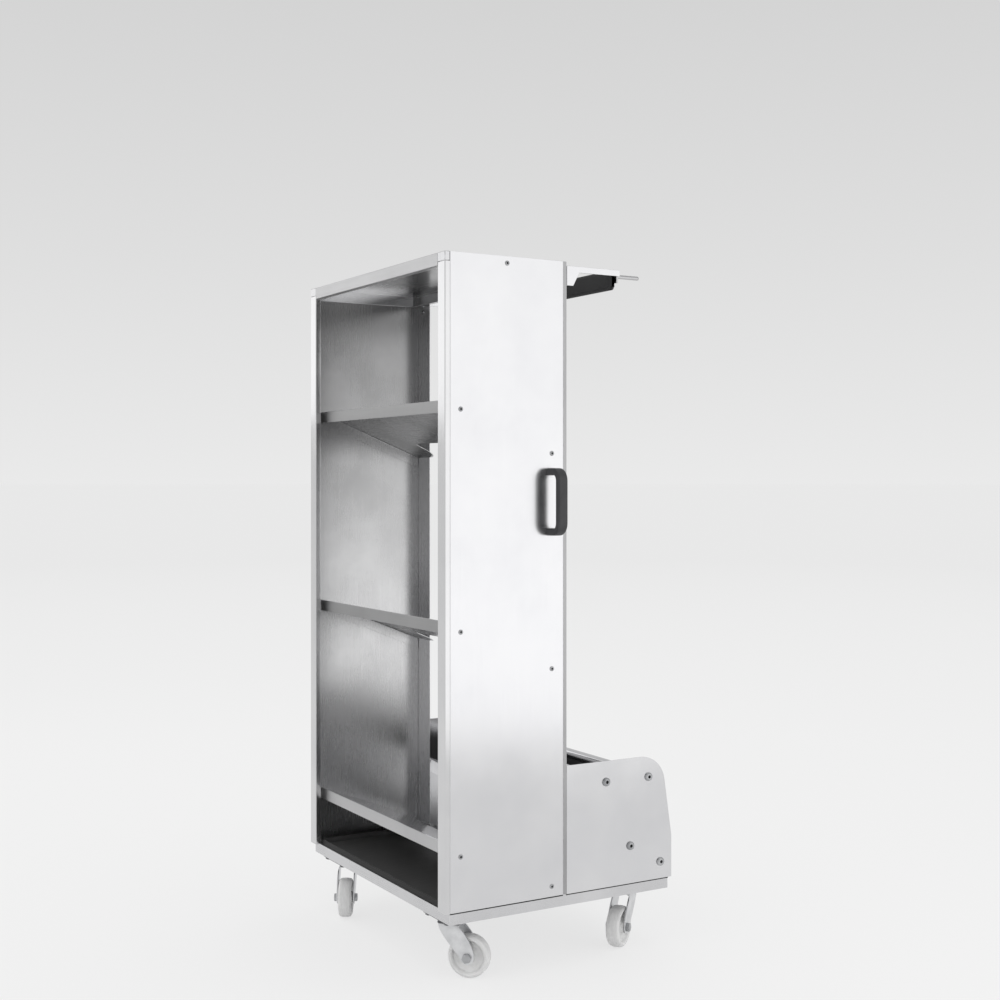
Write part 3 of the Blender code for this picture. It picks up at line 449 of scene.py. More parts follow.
# Darker copy of the brushed trim for the upper and middle shelves' front lips: painted shade
LIP_TRIM_PAINTED_SHADE = sheet_steel("brushed_shelf_lip_painted_shade", GRAIN_ACROSS, (0.36, 0.36, 0.362),
                       (0.30, 0.30, 0.302), 0.34, 0.46, TRIM_WAVE)
INNER_UPRIGHT = shaded_inner_sheet("mill_sheet_painted_shade_upright", (900, 900, 12))
INNER_ACROSS = shaded_inner_sheet("mill_sheet_painted_shade_across", (12, 900, 900))
STEEL_EDGE = worn_edge("rubbed_steel_edge", (0.80, 0.80, 0.81), (0.56, 0.56, 0.57), 0.22, 0.42)
ZINC = zinc_plate("zinc_pressing", (0.58, 0.585, 0.595), (0.76, 0.765, 0.775), 0.30, 0.46)
BOLT_ZINC = zinc_plate("zinc_bolt", (0.30, 0.305, 0.315), (0.52, 0.525, 0.535), 0.24, 0.42)
# Near-black zinc for the castor plates and their bolts, standing in for the shade under the base:
# painted shade
PLATE_ZINC_PAINTED_SHADE = zinc_plate("zinc_castor_plate_painted_shade", (0.09, 0.091, 0.094), (0.21, 0.212, 0.218),
                        0.32, 0.52)
PLASTIC = moulded_plastic()
RAIL_RUBBER = rubber("rail_rubber", 0.030)
MAT_RUBBER = rubber("mat_rubber", 0.055)
COATING = tray_coating("black_powder_coating", 0.066, 0.115, 0.45)
# Darker copy of the powder coating for the tray's front face: painted shade
COATING_FRONT_PAINTED_SHADE = tray_coating("black_front_coating_painted_shade", 0.012, 0.030, 0.15)
COATING_EDGE = chipped_coating()
WHEEL_PLASTIC = polyamide()
# Dark material for the inside of each socket recess: painted shade
SOCKET_SHADE = rubber("socket_painted_shade", 0.020)


# Mesh helpers
def link_mesh(name, bm, finishes):
    """Object in the scene, with a mesh from a bmesh and its materials."""
    mesh = bpy.data.meshes.new(name)
    bm.to_mesh(mesh)
    bm.free()
    for finish in finishes:
        mesh.materials.append(finish)
    piece = bpy.data.objects.new(name, mesh)
    bpy.context.scene.collection.objects.link(piece)
    return piece


def add_piece(name, bm, finishes, body, replaced=(), matrix=None):
    """Turn a bmesh into a piece that rides on a body, with hard edges kept sharp."""
    bmesh.ops.recalc_face_normals(bm, faces=bm.faces[:])
    for edge in bm.edges:
        open_edge = len(edge.link_faces) != 2
        edge.smooth = open_edge or edge.calc_face_angle(0.0) < math.radians(SHARP_ANGLE)
    for face in bm.faces:
        face.smooth = True
    piece = link_mesh(name, bm, finishes)
    if matrix:
        piece.matrix_world = matrix
    weighted = piece.modifiers.new("even shading", "WEIGHTED_NORMAL")
    weighted.keep_sharp = True
    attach(piece, body)
    if replaced:
        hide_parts(*replaced)
    return piece


def bevel_corners(bm, width, segments=2, over=40, material=-1):
    """Round every edge that turns by more than an angle in degrees."""
    edges = [edge for edge in bm.edges
             if len(edge.link_faces) == 2 and edge.calc_face_angle(0.0) > math.radians(over)]
    bmesh.ops.bevel(bm, geom=edges, offset=width, segments=segments, profile=0.5, affect="EDGES",
                    clamp_overlap=True, material=material)


def refined(node, finish, edge_finish, width=SHEET_EDGE, sides=()):
    """The node's own form with rubbed, rounded edges.

    sides are (direction, finish) pairs, for faces that have a finish of their own.
    """
    source = NODES[node]
    bm = bmesh.new()
    bm.from_mesh(source.data)
    bmesh.ops.remove_doubles(bm, verts=bm.verts, dist=MERGE_DISTANCE)
    bmesh.ops.dissolve_limit(bm, angle_limit=math.radians(FLAT_ANGLE), verts=bm.verts,
                             edges=bm.edges)
    for face in bm.faces:
        face.material_index = 0
    bevel_corners(bm, width, over=CORNER_ANGLE, material=1)
    for index, (direction, _) in enumerate(sides):
        for face in bm.faces:
            if face.material_index == 0 and face.normal.dot(Vector(direction)) > FACING_COSINE:
                face.material_index = 2 + index
    finishes = (finish, edge_finish, *(side_finish for _, side_finish in sides))
    return add_piece(f"{node}_sheet", bm, finishes, source["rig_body"], (node,))


def join(bm, first, second, material=0):
    """Faces between two rings of as many vertices."""
    for step in range(len(first)):
        after = (step + 1) % len(first)
        face = bm.faces.new((first[step], first[after], second[after], second[step]))
        face.material_index = material


def skin(bm, rings):
    """Closed form through rings of vertices, with flat ends."""
    for first, second in zip(rings, rings[1:]):
        join(bm, first, second)
    bm.faces.new(rings[0][::-1])
    bm.faces.new(rings[-1])


def lathe(bm, profile, steps, matrix=Matrix.Identity(4)):
    """Turn (radius, height) points about local Z; a radius of 0 closes an end."""
    rings = []
    for radius, height in profile:
        if radius < MERGE_DISTANCE:
            rings.append([bm.verts.new(matrix @ Vector((0, 0, height)))])
            continue
        ring = []
        for step in range(steps):
            angle = 2 * math.pi * step / steps
            point = Vector((radius * math.cos(angle), radius * math.sin(angle), height))
            ring.append(bm.verts.new(matrix @ point))
        rings.append(ring)
    for first, second in zip(rings, rings[1:]):
        for step in range(steps):
            after = (step + 1) % steps
            corners = [first[step % len(first)], first[after % len(first)],
                       second[after % len(second)], second[step % len(second)]]
            unique = list(dict.fromkeys(corners))
            if len(unique) > 2:
                bm.faces.new(unique)
    return rings


def rounded(points, radius, steps=3):
    """Round the inner corners of an open (x, y) profile."""
    result = [points[0]]
    for before, corner, after in zip(points, points[1:], points[2:]):
        before, corner, after = Vector(before), Vector(corner), Vector(after)
        to_before, to_after = before - corner, after - corner
        reach = min(radius, to_before.length * 0.45, to_after.length * 0.45)
        start = corner + to_before.normalized() * reach
        end = corner + to_after.normalized() * reach
        for step in range(steps + 1):
            t = step / steps
            point = start * (1 - t) ** 2 + corner * 2 * t * (1 - t) + end * t ** 2
            result.append((point.x, point.y))
    result.append(points[-1])
    return result


def rounded_pin(bm, radius, low, high, edge, steps, matrix):
    """Cylinder from low to high along local Z, with rounded rims."""
    profile = [(0, low), (radius, low), (radius, high), (0, high)]
    lathe(bm, rounded(profile, edge), steps, matrix)


def prism(bm, outline, low, high, matrix=Matrix.Identity(4)):
    """Extrude an (x, y) outline from low to high along local Z."""
    bottom = [bm.verts.new(matrix @ Vector((x, y, low))) for x, y in outline]
    top = [bm.verts.new(matrix @ Vector((x, y, high))) for x, y in outline]
    bm.faces.new(bottom[::-1])
    bm.faces.new(top)
    join(bm, bottom, top)


def quarter(steps):
    """Angles of a quarter turn, in even steps from 0."""
    return [math.radians(90 * k / steps) for k in range(steps + 1)]


def hexagon(radius, turn=0.0):
    angles = [turn + math.radians(60 * k) for k in range(6)]
    return [(radius * math.cos(angle), radius * math.sin(angle)) for angle in angles]


def rounded_box(width, depth, radius, steps=5):
    """Outline of a rectangle with round corners, about its middle."""
    points = []
    for sign_x, sign_y, start in ((1, 1, 0), (-1, 1, 90), (-1, -1, 180), (1, -1, 270)):
        for step in range(steps + 1):
            angle = math.radians(start + 90 * step / steps)
            points.append((sign_x * (width / 2 - radius) + radius * math.cos(angle),
                           sign_y * (depth / 2 - radius) + radius * math.sin(angle)))
    return points


def facing(place, direction):
    """Frame at a place whose local Z points along a direction."""
    turn = Vector((0, 0, 1)).rotation_difference(Vector(direction))
    return Matrix.Translation(Vector(place)) @ turn.to_matrix().to_4x4()


def body_of(node):
    return NODES[node]["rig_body"]


# Sheet work
def dress_sheets():
    """Every folded sheet and rail, in its own form with its own finish."""
    finishes = {
        "{}_side_cladding": UPRIGHT,
        "{}_ski_cheek": UPRIGHT,
        "{}_side_wall": INNER_UPRIGHT,
        "{}_front_post": POST_TRIM,
        "{}_cheek_angle": TRIM_UPRIGHT,
        "{}_corner_block": TRIM_UPRIGHT,
    }
    for side_name, side in SIDES.items():
        for pattern, finish in finishes.items():
            refined(pattern.format(side_name), finish, STEEL_EDGE)
        # The rear post's outward face takes a darker copy of its steel, which is painted shade
        refined(f"{side_name}_rear_post", TRIM_UPRIGHT, STEEL_EDGE,
                sides=(((side, 0, 0), POST_SIDE_PAINTED_SHADE),))
        refined(f"{side_name}_rack_arm", ACROSS, STEEL_EDGE, HEAVY_EDGE)
    # Shelf and top panel undersides take the inside finish, with its painted shade
    below = ((0, 0, -1), INNER_ACROSS)
    flanges = (((1, 0, 0), INNER_UPRIGHT), ((-1, 0, 0), INNER_UPRIGHT))
    # The upper and middle shelf lips take the darker trim, which is painted shade
    for level, lip in (("upper", LIP_TRIM_PAINTED_SHADE), ("middle", LIP_TRIM_PAINTED_SHADE), ("lower", RAIL_TRIM)):
        refined(f"{level}_boot_shelf", ACROSS, STEEL_EDGE,
                sides=(((0, -1, 0), lip), below, *flanges))
    refined("top_panel", ACROSS, STEEL_EDGE, sides=(below,))
    refined("ski_trough", ACROSS, STEEL_EDGE)
    for node in ("front_top_rail", "rear_top_rail"):
        refined(node, RAIL_TRIM, STEEL_EDGE)
    for node in ("base_pan", "front_castor_channel", "rear_castor_channel"):
        refined(node, TRIM_ACROSS, STEEL_EDGE)
    # The tray's front face takes the darker coating, which is painted shade
    refined("drip_tray", COATING, COATING_EDGE, HEAVY_EDGE,
            sides=(((0, -1, 0), COATING_FRONT_PAINTED_SHADE),))


def add_painted_base_shadows():
    """Dark strip in the step between each side's sheets and the base pan, a painted shadow of the
    gap there.
    """
    pan_low, pan_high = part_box("base_pan")
    foot, shoulder = SEAM_SLANT
    section = [(0.0, 0.0), (SEAM_DEPTH, foot), (SEAM_DEPTH, SEAM_HEIGHT - shoulder),
               (0.0, SEAM_HEIGHT)]
    for side_name, side in SIDES.items():
        inner = pan_high.x if side > 0 else pan_low.x
        outline = [(inner + side * x, SEAM_TOP - SEAM_HEIGHT + z) for x, z in section]
        bm = bmesh.new()
        for node in (f"{side_name}_side_cladding", f"{side_name}_ski_cheek"):
            low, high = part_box(node)
            prism(bm, outline, low.y, min(high.y, pan_high.y), ALONG_Y)
        add_piece(f"{side_name}_painted_base_shadow", bm, (RAIL_RUBBER,), "trolley")


# Handles
def add_handle(side_name, side):
    """Moulded bridge handle: two flared feet and a grip, swept as one form."""
    low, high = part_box(f"{side_name}_handle")
    width = high.y - low.y
    wall = low.x if side > 0 else high.x
    centre = (low + high) / 2
    half = (high.z - low.z) / 2 - HANDLE_LEG / 2
    out = high.x - low.x - HANDLE_GRIP / 2
    bend = HANDLE_BEND
    angles = quarter(HANDLE_BEND_STEPS)
    path = [(0.0, -half)]
    path += [(out - bend + bend * math.sin(a), -half + bend - bend * math.cos(a)) for a in angles]
    path += [(out, 0.0)]
    path += [(out - bend + bend * math.cos(a), half - bend + bend * math.sin(a)) for a in angles]
    path += [(0.0, half)]
    bm = bmesh.new()
    rings = []
    for index, (x, z) in enumerate(path):
        before = Vector(path[max(index - 1, 0)])
        after = Vector(path[min(index + 1, len(path) - 1)])
        along = (after - before).normalized()
        across = Vector((along.y, -along.x))
        thickness = HANDLE_LEG + (HANDLE_GRIP - HANDLE_LEG) * min(1.0, x / out)
        ring = []
        for u, v in rounded_box(width, thickness, HANDLE_CORNER):
            point = Vector((x, z)) + across * v
            place = (wall + side * max(point.x, 0.0), centre.y + u, centre.z + point.y)
            ring.append(bm.verts.new(place))
        rings.append(ring)
    skin(bm, rings)
    add_piece(f"{side_name}_grip", bm, (PLASTIC,), body_of(f"{side_name}_handle"),
              (f"{side_name}_handle",))


# Fasteners
def socket_head(bm, matrix, head, height, socket):
    """Low domed head with a hexagon socket; the socket's inside has the second material, a dark
    one that is painted shade.
    """
    profile = [(head, 0.0), (head, height * 0.25), (head * 0.93, height * 0.62),
               (head * 0.74, height * 0.93), (head * 0.60, height), (socket * 1.12, height),
               (socket, height - 0.0003)]
    rings = lathe(bm, profile, SOCKET_STEPS, matrix)
    mouth = height - 0.0006
    depth = height * 0.6
    outline = []
    for step in range(SOCKET_STEPS):
        angle = 2 * math.pi * step / SOCKET_STEPS
        flat = socket * 0.866 / math.cos((angle % math.radians(60)) - math.radians(30))
        outline.append((flat * math.cos(angle), flat * math.sin(angle)))
    inner = [bm.verts.new(matrix @ Vector((x, y, mouth))) for x, y in outline]
    floor = [bm.verts.new(matrix @ Vector((x, y, mouth - depth))) for x, y in outline]
    join(bm, rings[-1], inner)
    # The socket's walls and floor take the dark second material: painted shade
    join(bm, inner, floor, 1)
    bm.faces.new(floor).material_index = 1
    bm.faces.new(rings[0][::-1])


def add_stand_bolts():
    """Large socket-head bolts through each cheek of the ski stand."""
    for side_name, side in SIDES.items():
        for bolt in ("front_bar", "rear_bar", "floor_front", "floor_rear"):
            node = f"{side_name}_{bolt}_bolt"
            low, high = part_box(node)
            centre = (low + high) / 2
            tip, inner = (high.x, low.x) if side > 0 else (low.x, high.x)
            seat = tip - side * BOLT_HEAD_HEIGHT
            place = (seat, centre.y, centre.z)
            bm = bmesh.new()
            socket_head(bm, facing(place, (side, 0, 0)), (high.y - low.y) / 2,
                        BOLT_HEAD_HEIGHT, BOLT_SOCKET)
            rounded_pin(bm, BOLT_SHANK, 0, abs(seat - inner), 0.0006, 20,
                        facing(place, (-side, 0, 0)))
            add_piece(f"{node}_head", bm, (BOLT_ZINC, SOCKET_SHADE), body_of(node),
                      (node,))


def add_cladding_screws():
    """Seven small screws in each side's cladding."""
    for side_name, side in SIDES.items():
        low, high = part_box(f"{side_name}_side_cladding")
        face = high.x if side > 0 else low.x
        places = [(CABINET_FRONT + depth, z) for depth, levels in SCREW_COLUMNS for z in levels]
        places.append((CABINET_FRONT + TOP_SCREW_DEPTH, high.z - TOP_SCREW_DROP))
        bm = bmesh.new()
        for y, z in places:
            socket_head(bm, facing((face, y, z), (side, 0, 0)), SCREW_HEAD, SCREW_HEAD_HEIGHT,
                        SCREW_SOCKET)
        add_piece(f"{side_name}_cladding_screws", bm, (BOLT_ZINC, SOCKET_SHADE), "trolley")


def add_arm_screws():
    """Two screws through each rear post flange into the rack arm's foot, with their nuts."""
    for side_name, side in SIDES.items():
        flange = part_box(f"{side_name}_rear_post")[1].y - POST_SHEET
        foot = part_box(f"{side_name}_rack_arm")[0].y + ARM_SHEET
        bm = bmesh.new()
        for z in ARM_SCREW_LEVELS:
            socket_head(bm, facing((side * ARM_SCREW_X, flange, z), (0, -1, 0)),
                        ARM_SCREW_HEAD, ARM_SCREW_HEAD_HEIGHT, ARM_SCREW_SOCKET)
            nut = facing((side * ARM_SCREW_X, foot, z), (0, 1, 0))
            prism(bm, hexagon(ARM_NUT), 0.0, ARM_NUT_HEIGHT, nut)
            rounded_pin(bm, ARM_SCREW_END, ARM_NUT_HEIGHT, ARM_SCREW_REACH, 0.0004, 16, nut)
        add_piece(f"{side_name}_arm_screws", bm, (BOLT_ZINC, SOCKET_SHADE), "trolley")


# Stand and rack
def add_bars():
    """Polished closed tubes with a small chamfer at each end."""
    for node in ("front_ski_bar", "rear_ski_bar"):
        low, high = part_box(node)
        radius = (high.z - low.z) / 2
        half = (high.x - low.x) / 2
        profile = [(0, -half), (radius - BAR_CHAMFER, -half), (radius, -half + BAR_CHAMFER)]
        profile += [(radius, -half + 2 * half * k / 8) for k in range(1, 8)]
        profile += [(radius, half - BAR_CHAMFER), (radius - BAR_CHAMFER, half), (0, half)]
        bm = bmesh.new()
        lathe(bm, profile, BAR_STEPS, facing((low + high) / 2, (1, 0, 0)))
        add_piece(f"{node}_tube", bm, (ACROSS,), body_of(node), (node,))


def add_comb():
    """Rail with seven round tines, each with a weld bead at its root and a round tip."""
    low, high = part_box("rack_comb")
    rear = low.y + COMB_THICKNESS
    foot = high.z - COMB_HEIGHT
    bm = bmesh.new()
    prism(bm, [(low.y, foot), (rear, foot), (rear, high.z), (low.y, high.z)], low.x, high.x,
          ALONG_X)
    bevel_corners(bm, HEAVY_EDGE, material=1)
    length = high.y - rear
    bead = [(TINE_RADIUS + swell, level) for swell, level in WELD_BEAD]
    tip = [(TINE_RADIUS * math.cos(a), length - TINE_RADIUS + TINE_RADIUS * math.sin(a))
           for a in quarter(6)]
    for index in range(TINE_COUNT):
        x = (index - (TINE_COUNT - 1) / 2) * TINE_PITCH
        place = facing((x, rear, high.z - TINE_DROP), (0, 1, 0))
        lathe(bm, bead + tip[:-1] + [(0, length)], TINE_STEPS, place)
    add_piece("rack_comb_bar", bm, (RAIL_TRIM, STEEL_EDGE), body_of("rack_comb"),
              ("rack_comb",))


def add_rail_pad():
    """Foam rubber rail: a crowned section that swells between its ends, flat on the comb."""
    low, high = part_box("rack_pad")
    rng = random.Random(PAD_SEED)
    depth = high.y - low.y
    height = high.z - low.z
    half = (high.x - low.x) / 2
    drift = [rng.uniform(-1, 1) for _ in range(PAD_WAVES)]
    bm = bmesh.new()
    rings = []
    for row in range(PAD_ROWS + 1):
        t = row / PAD_ROWS
        from_end = min(t, 1 - t) * 2 * half
        ease = min(1.0, from_end / PAD_END_LENGTH)
        shrink = PAD_END_SHRINK * (1 - math.sqrt(max(0.0, 1 - (1 - ease) ** 2)))
        waves = (value * math.sin((k + 1) * math.pi * t) for k, value in enumerate(drift))
        sway = sum(waves) * PAD_SWAY
        ring = []
        for u, v in rounded_box(height - 2 * shrink, depth - 2 * shrink, PAD_CORNER, 7):
            y = (low.y + high.y) / 2 + v
            if v < 0:
                y += PAD_FRONT_INSET - (1 - (2 * u / height) ** 2) * PAD_CROWN + sway
            swell = PAD_SWELL * (1 - (2 * v / depth) ** 2)
            z = (low.z + high.z) / 2 + u * (1 - 2 * (PAD_SWELL - swell) / height)
            ring.append(bm.verts.new((-half + 2 * half * t, min(max(y, low.y), high.y), z)))
        rings.append(ring)
    skin(bm, rings)
    pad = add_piece("rack_rail_pad", bm, (RAIL_RUBBER,), body_of("rack_pad"),
                    ("rack_pad",))


def add_floor_mat():
    """Rubber mat on the sloping floor, with ribs across it."""
    low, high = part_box("ski_floor_mat")
    source = NODES["ski_floor_mat"].data
    across = Vector((1, 0, 0))
    top = max((face for face in source.polygons if face.normal.z > 0), key=lambda face: face.area)
    up = top.normal.copy()
    along = up.cross(across)
    centre = (low + high) / 2
    spans = [(vert.co - centre).dot(along) for vert in source.vertices]
    lifts = [(vert.co - centre).dot(up) for vert in source.vertices]
    half = (max(spans) - min(spans)) / 2
    base = min(lifts)
    crest = max(lifts)
    groove = crest - RIB_DEPTH
    count = int((2 * half - MAT_MARGIN) / RIB_PITCH)
    line = [(-half, base), (-half, groove)]
    for rib in range(count):
        left = -count * RIB_PITCH / 2 + rib * RIB_PITCH
        line += [(left + RIB_FOOT[0], groove), (left + RIB_TOP[0], crest),
                 (left + RIB_TOP[1], crest), (left + RIB_FOOT[1], groove)]
    line += [(half, groove), (half, base)]
    slope = Matrix((
        (along.x, up.x, across.x, centre.x),
        (along.y, up.y, across.y, centre.y),
        (along.z, up.z, across.z, centre.z),
        (0, 0, 0, 1)))
    bm = bmesh.new()
    prism(bm, line, low.x, high.x, slope)
    bevel_corners(bm, MAT_EDGE, 1, MAT_EDGE_ANGLE)
    add_piece("ski_floor_ribbed_mat", bm, (MAT_RUBBER,), body_of("ski_floor_mat"),
              ("ski_floor_mat",))


# Castors
def add_castor(name):
    """One castor: its plate stays with the trolley, the rest turns with the swivel's heading."""
    swivel = Vector(JOINTS[f"{name}_swivel"]["pos_m"])
    hub = Vector(JOINTS[f"{name}_wheel_spin"]["pos_m"])
    heading = math.atan2(hub.y - swivel.y, hub.x - swivel.x)
    trail = math.hypot(hub.y - swivel.y, hub.x - swivel.x)
    upright = Matrix.Translation((swivel.x, swivel.y, 0))
    turned = upright @ Matrix.Rotation(heading, 4, "Z")
    quarter_turn = Matrix.Rotation(math.radians(90), 4, "X")
    along_axle = turned @ Matrix.Translation((trail, 0, hub.z)) @ quarter_turn
    add_top_plate(name, upright)
    add_fork(name, turned, trail, hub.z)
    add_axle(name, along_axle)
    add_wheel(name, along_axle)


def add_top_plate(name, matrix):
    """Plate with a washer, a nut and a bolt end at each of its four corners."""
    node = f"{name}_top_plate"
    # Plate, washers, nuts and bolt ends take the near-black zinc, which is painted shade
    refined(node, PLATE_ZINC_PAINTED_SHADE, PLATE_ZINC_PAINTED_SHADE, HEAVY_EDGE)
    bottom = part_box(node)[1].z - CASTOR_PLATE
    bm = bmesh.new()
    for sign_x in (1, -1):
        for sign_y in (1, -1):
            place = Matrix.Translation((sign_x * PLATE_BOLT_X, sign_y * PLATE_BOLT_Y, bottom))
            down = matrix @ place @ Matrix.Rotation(math.pi, 4, "X")
            rounded_pin(bm, PLATE_WASHER, 0, PLATE_WASHER_LEVEL, 0.0003, 24, down)
            prism(bm, hexagon(PLATE_NUT, PLATE_NUT_TURN * sign_x), PLATE_WASHER_LEVEL,
                  PLATE_NUT_LEVEL, down)
            rounded_pin(bm, PLATE_BOLT_END, PLATE_NUT_LEVEL, PLATE_BOLT_LEVEL, 0.0005, 20, down)
    bevel_corners(bm, FINE_EDGE, 1)
    add_piece(f"{name}_plate_bolts", bm, (PLATE_ZINC_PAINTED_SHADE,), body_of(node))


def fork_path():
    """Section of the fork across the wheel, as (y, z) from one leg's foot to the other's."""
    bend = FORK_BEND
    leg_top = CROWN_LEVEL - bend
    path = [(FORK_HALF_GAP, FORK_FOOT + (leg_top - FORK_FOOT) * k / FORK_ROWS)
            for k in range(FORK_ROWS + 1)]
    path += [(FORK_HALF_GAP - bend + bend * math.cos(a), leg_top + bend * math.sin(a))
             for a in quarter(FORK_BEND_STEPS)[1:]]
    return path + [(-y, z) for y, z in reversed(path)]


def fork_reach(y, z, trail, hub_height):
    """Rear and front edge of the fork at a point of its section."""
    leg_top = CROWN_LEVEL - FORK_BEND
    if z > leg_top:
        edge = math.sqrt(max(0.0, FORK_CROWN_RADIUS ** 2 - y ** 2))
        return -edge, edge
    if z < hub_height:
        round_end = math.sqrt(max(0.0, FORK_EYE_RADIUS ** 2 - (hub_height - z) ** 2))
        return trail - round_end, trail + round_end
    top = math.sqrt(FORK_CROWN_RADIUS ** 2 - FORK_HALF_GAP ** 2)
    t = (leg_top - z) / (leg_top - hub_height)
    rear = -top + (trail - FORK_EYE_RADIUS + top) * t ** 1.25
    front = top + (trail + FORK_EYE_RADIUS - top) * math.sin(t * math.pi / 2) ** 0.9
    return rear, front


def add_fork(name, matrix, trail, hub_height):
    """Pressed fork, a crown bent down into two legs that trail to the axle; kingpin's head."""
    bm = bmesh.new()
    rows = []
    for y, z in fork_path():
        rear, front = fork_reach(y, z, trail, hub_height)
        across = [rear + (front - rear) * k / FORK_COLUMNS for k in range(FORK_COLUMNS + 1)]
        rows.append([bm.verts.new((x, y, z)) for x in across])
    for first, second in zip(rows, rows[1:]):
        for k in range(FORK_COLUMNS):
            bm.faces.new((first[k], first[k + 1], second[k + 1], second[k]))
    bmesh.ops.remove_doubles(bm, verts=bm.verts, dist=0.00005)
    bmesh.ops.recalc_face_normals(bm, faces=bm.faces[:])
    bmesh.ops.solidify(bm, geom=bm.faces[:], thickness=FORK_SHEET)
    # The legs are set so that their sheet lies evenly about the fork's half gap
    inner = min(abs(vert.co.y) for vert in bm.verts if vert.co.z < hub_height)
    for vert in bm.verts:
        if abs(vert.co.y) > 0.001 and vert.co.z < CROWN_LEVEL - FORK_BEND:
            sign = 1 if vert.co.y > 0 else -1
            vert.co.y += sign * (FORK_HALF_GAP - FORK_SHEET / 2 - inner)
    bevel_corners(bm, HEAVY_EDGE, over=CORNER_ANGLE)
    lathe(bm, rounded(KINGPIN_HEAD, 0.0008), KINGPIN_STEPS)
    add_piece(f"{name}_pressed_fork", bm, (ZINC,), body_of(f"{name}_fork"),
              (f"{name}_fork",), matrix)


def add_axle(name, matrix):
    """Bolt through the hub with a domed hexagon at each end."""
    node = f"{name}_axle"
    seat = FORK_HALF_GAP + FORK_SHEET / 2 + AXLE_GAP
    bm = bmesh.new()
    lathe(bm, [(0, -seat), (AXLE_RADIUS, -seat), (AXLE_RADIUS, seat), (0, seat)],
          AXLE_STEPS)
    for sign in (1, -1):
        turn = Matrix.Identity(4) if sign > 0 else Matrix.Rotation(math.pi, 4, "X")
        prism(bm, hexagon(AXLE_NUT, AXLE_NUT_TURN * sign), seat, seat + AXLE_NUT_HEIGHT, turn)
        dome = [(radius, seat + level) for radius, level in AXLE_NUT_DOME]
        lathe(bm, dome, AXLE_STEPS, turn)
    bevel_corners(bm, SHEET_EDGE, 1, CORNER_ANGLE)
    add_piece(f"{name}_axle_bolt", bm, (BOLT_ZINC,), body_of(node), (node,), matrix)


def add_wheel(name, matrix):
    """Moulded wheel: crowned tread, dished web with a raised hub and a rim lip."""
    node = f"{name}_wheel"
    hub = WHEEL_HALF_WIDTH + WHEEL_HUB_OVERHANG
    upper = [(WHEEL_BORE, hub), (0.0125, hub), (0.0140, 0.0085), (0.0205, 0.0066),
             (0.0290, 0.0075), (0.0315, 0.0125), (0.0335, WHEEL_HALF_WIDTH),
             (0.0365, WHEEL_HALF_WIDTH), (0.0398, 0.0108), (WHEEL_RADIUS, 0.0045)]
    line = rounded(upper + [(radius, -level) for radius, level in reversed(upper)],
                   WHEEL_ROUNDING)
    bm = bmesh.new()
    lathe(bm, line + [line[0]], WHEEL_STEPS)
    bmesh.ops.remove_doubles(bm, verts=bm.verts, dist=MERGE_DISTANCE)
    add_piece(f"{name}_moulded_wheel", bm, (WHEEL_PLASTIC,), body_of(node),
              (node,), matrix)


# Stage
def seen_rays(tree):
    """1 for rays from the camera, off a mirror or through a clear surface, and 0 for the rest."""
    path = tree.nodes.new("ShaderNodeLightPath")
    result = path.outputs["Is Camera Ray"]
    for kind in ("Is Glossy Ray", "Is Transmission Ray"):
        either = tree.nodes.new("ShaderNodeMath")
        either.operation = "MAXIMUM"
        tree.links.new(result, either.inputs[0])
        tree.links.new(path.outputs[kind], either.inputs[1])
        result = either.outputs["Value"]
    return result


def add_floor():
    """Pale floor that darkens a little with the distance, as seen, and lights as a plain one."""
    finish = Finish("studio_floor", roughness=0.55, Specular_IOR_Level=0.2)
    tree = finish.tree
    length = tree.nodes.new("ShaderNodeVectorMath")
    length.operation = "LENGTH"
    finish.link(finish.coordinates, length.inputs[0])
    distance = finish.spread(length.outputs["Value"], 0.0, 1.0, *FLOOR_FADE)
    near, far = FLOOR_LEVELS
    finish.colours(distance, ((0.0, (near, near, near)), (1.0, (far, far, far))))
    pale = tree.nodes.new("ShaderNodeEmission")
    finish.link(finish.shader.inputs["Base Color"].links[0].from_socket, pale.inputs["Color"])
    mix = tree.nodes.new("ShaderNodeMixShader")
    finish.link(finish.spread(seen_rays(tree), 0.0, PALE_SHARE, 0.0, 1.0), mix.inputs["Fac"])
    finish.link(finish.shader.outputs["BSDF"], mix.inputs[1])
    finish.link(pale.outputs["Emission"], mix.inputs[2])
    finish.link(mix.outputs["Shader"], tree.nodes["Material Output"].inputs["Surface"])
    bm = bmesh.new()
    angles = [2 * math.pi * k / FLOOR_STEPS for k in range(FLOOR_STEPS)]
    bm.faces.new([bm.verts.new((FLOOR_RADIUS * math.cos(a), FLOOR_RADIUS * math.sin(a), 0.0))
                  for a in angles])
    floor = link_mesh("studio_floor", bm, (finish.material,))


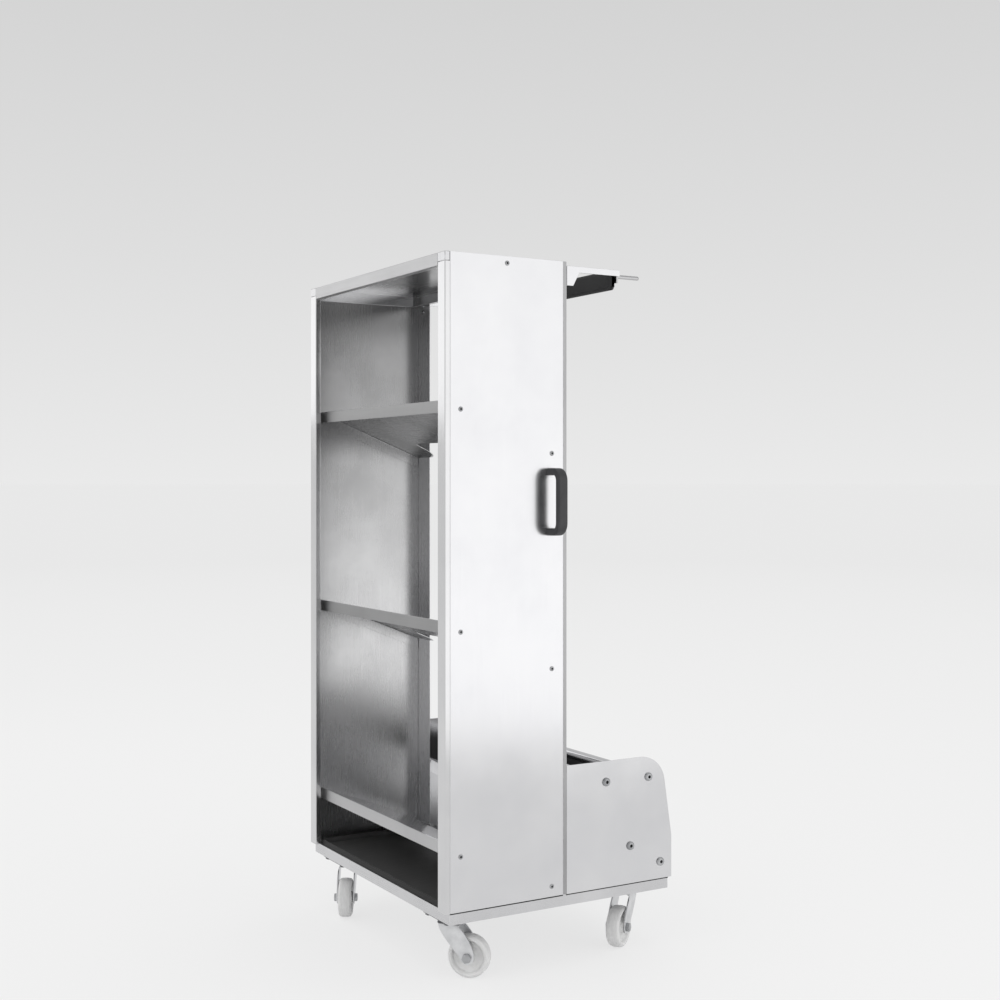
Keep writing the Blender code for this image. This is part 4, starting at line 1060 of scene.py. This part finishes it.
def add_world():
    """Plain ambient light, and a soft grey gradient where the background is seen."""
    world = bpy.data.worlds.new("studio")
    bpy.context.scene.world = world
    world.use_nodes = True
    tree = world.node_tree
    seen = tree.nodes["Background"]
    ambient = tree.nodes.new("ShaderNodeBackground")
    ambient.inputs["Color"].default_value = (AMBIENT, AMBIENT, AMBIENT, 1)
    mix = tree.nodes.new("ShaderNodeMixShader")
    tree.links.new(seen_rays(tree), mix.inputs["Fac"])
    tree.links.new(ambient.outputs["Background"], mix.inputs[1])
    tree.links.new(seen.outputs["Background"], mix.inputs[2])
    tree.links.new(mix.outputs["Shader"], tree.nodes["World Output"].inputs["Surface"])
    direction = tree.nodes.new("ShaderNodeTexCoord").outputs["Generated"]
    split = tree.nodes.new("ShaderNodeSeparateXYZ")
    ramp = tree.nodes.new("ShaderNodeValToRGB")
    tree.links.new(direction, split.inputs["Vector"])
    tree.links.new(split.outputs["Z"], ramp.inputs["Fac"])
    tree.links.new(ramp.outputs["Color"], seen.inputs["Color"])
    stops = [(position, (level, level, level)) for position, level in SKY_LEVELS]
    set_stops(ramp.color_ramp, stops)


def add_lamp(name, place, target, width, height, brightness):
    """Softbox of a given brightness, whatever its size."""
    lamp = bpy.data.lights.new(name, "AREA")
    lamp.shape = "RECTANGLE"
    lamp.size = width
    lamp.size_y = height
    lamp.energy = brightness * LAMP_POWER * width * height
    holder = bpy.data.objects.new(name, lamp)
    holder.location = place
    aim = Vector(target) - Vector(place)
    holder.rotation_euler = aim.to_track_quat("-Z", "Y").to_euler()
    bpy.context.scene.collection.objects.link(holder)


def add_camera():
    """Level camera at the photographer's place."""
    camera = bpy.data.cameras.new("photograph")
    camera.sensor_width = CAMERA_SENSOR
    camera.lens = CAMERA_LENS
    camera.shift_y = CAMERA_SHIFT
    camera.clip_end = CAMERA_REACH
    holder = bpy.data.objects.new("photograph", camera)
    holder.location = CAMERA_PLACE
    holder.rotation_euler = (math.radians(CAMERA_TILT), 0.0, math.radians(CAMERA_HEADING))
    bpy.context.scene.collection.objects.link(holder)
    bpy.context.scene.camera = holder


def add_stage():
    add_camera()
    add_floor()
    add_world()
    for lamp in LAMPS:
        add_lamp(*lamp)
    bpy.context.scene.view_settings.view_transform = "Standard"


def build():
    add_stage()
    dress_sheets()
    add_painted_base_shadows()
    for side_name, side in SIDES.items():
        add_handle(side_name, side)
    add_stand_bolts()
    add_cladding_screws()
    add_arm_screws()
    add_bars()
    add_comb()
    add_rail_pad()
    add_floor_mat()
    for name in CASTORS:
        add_castor(name)


build()
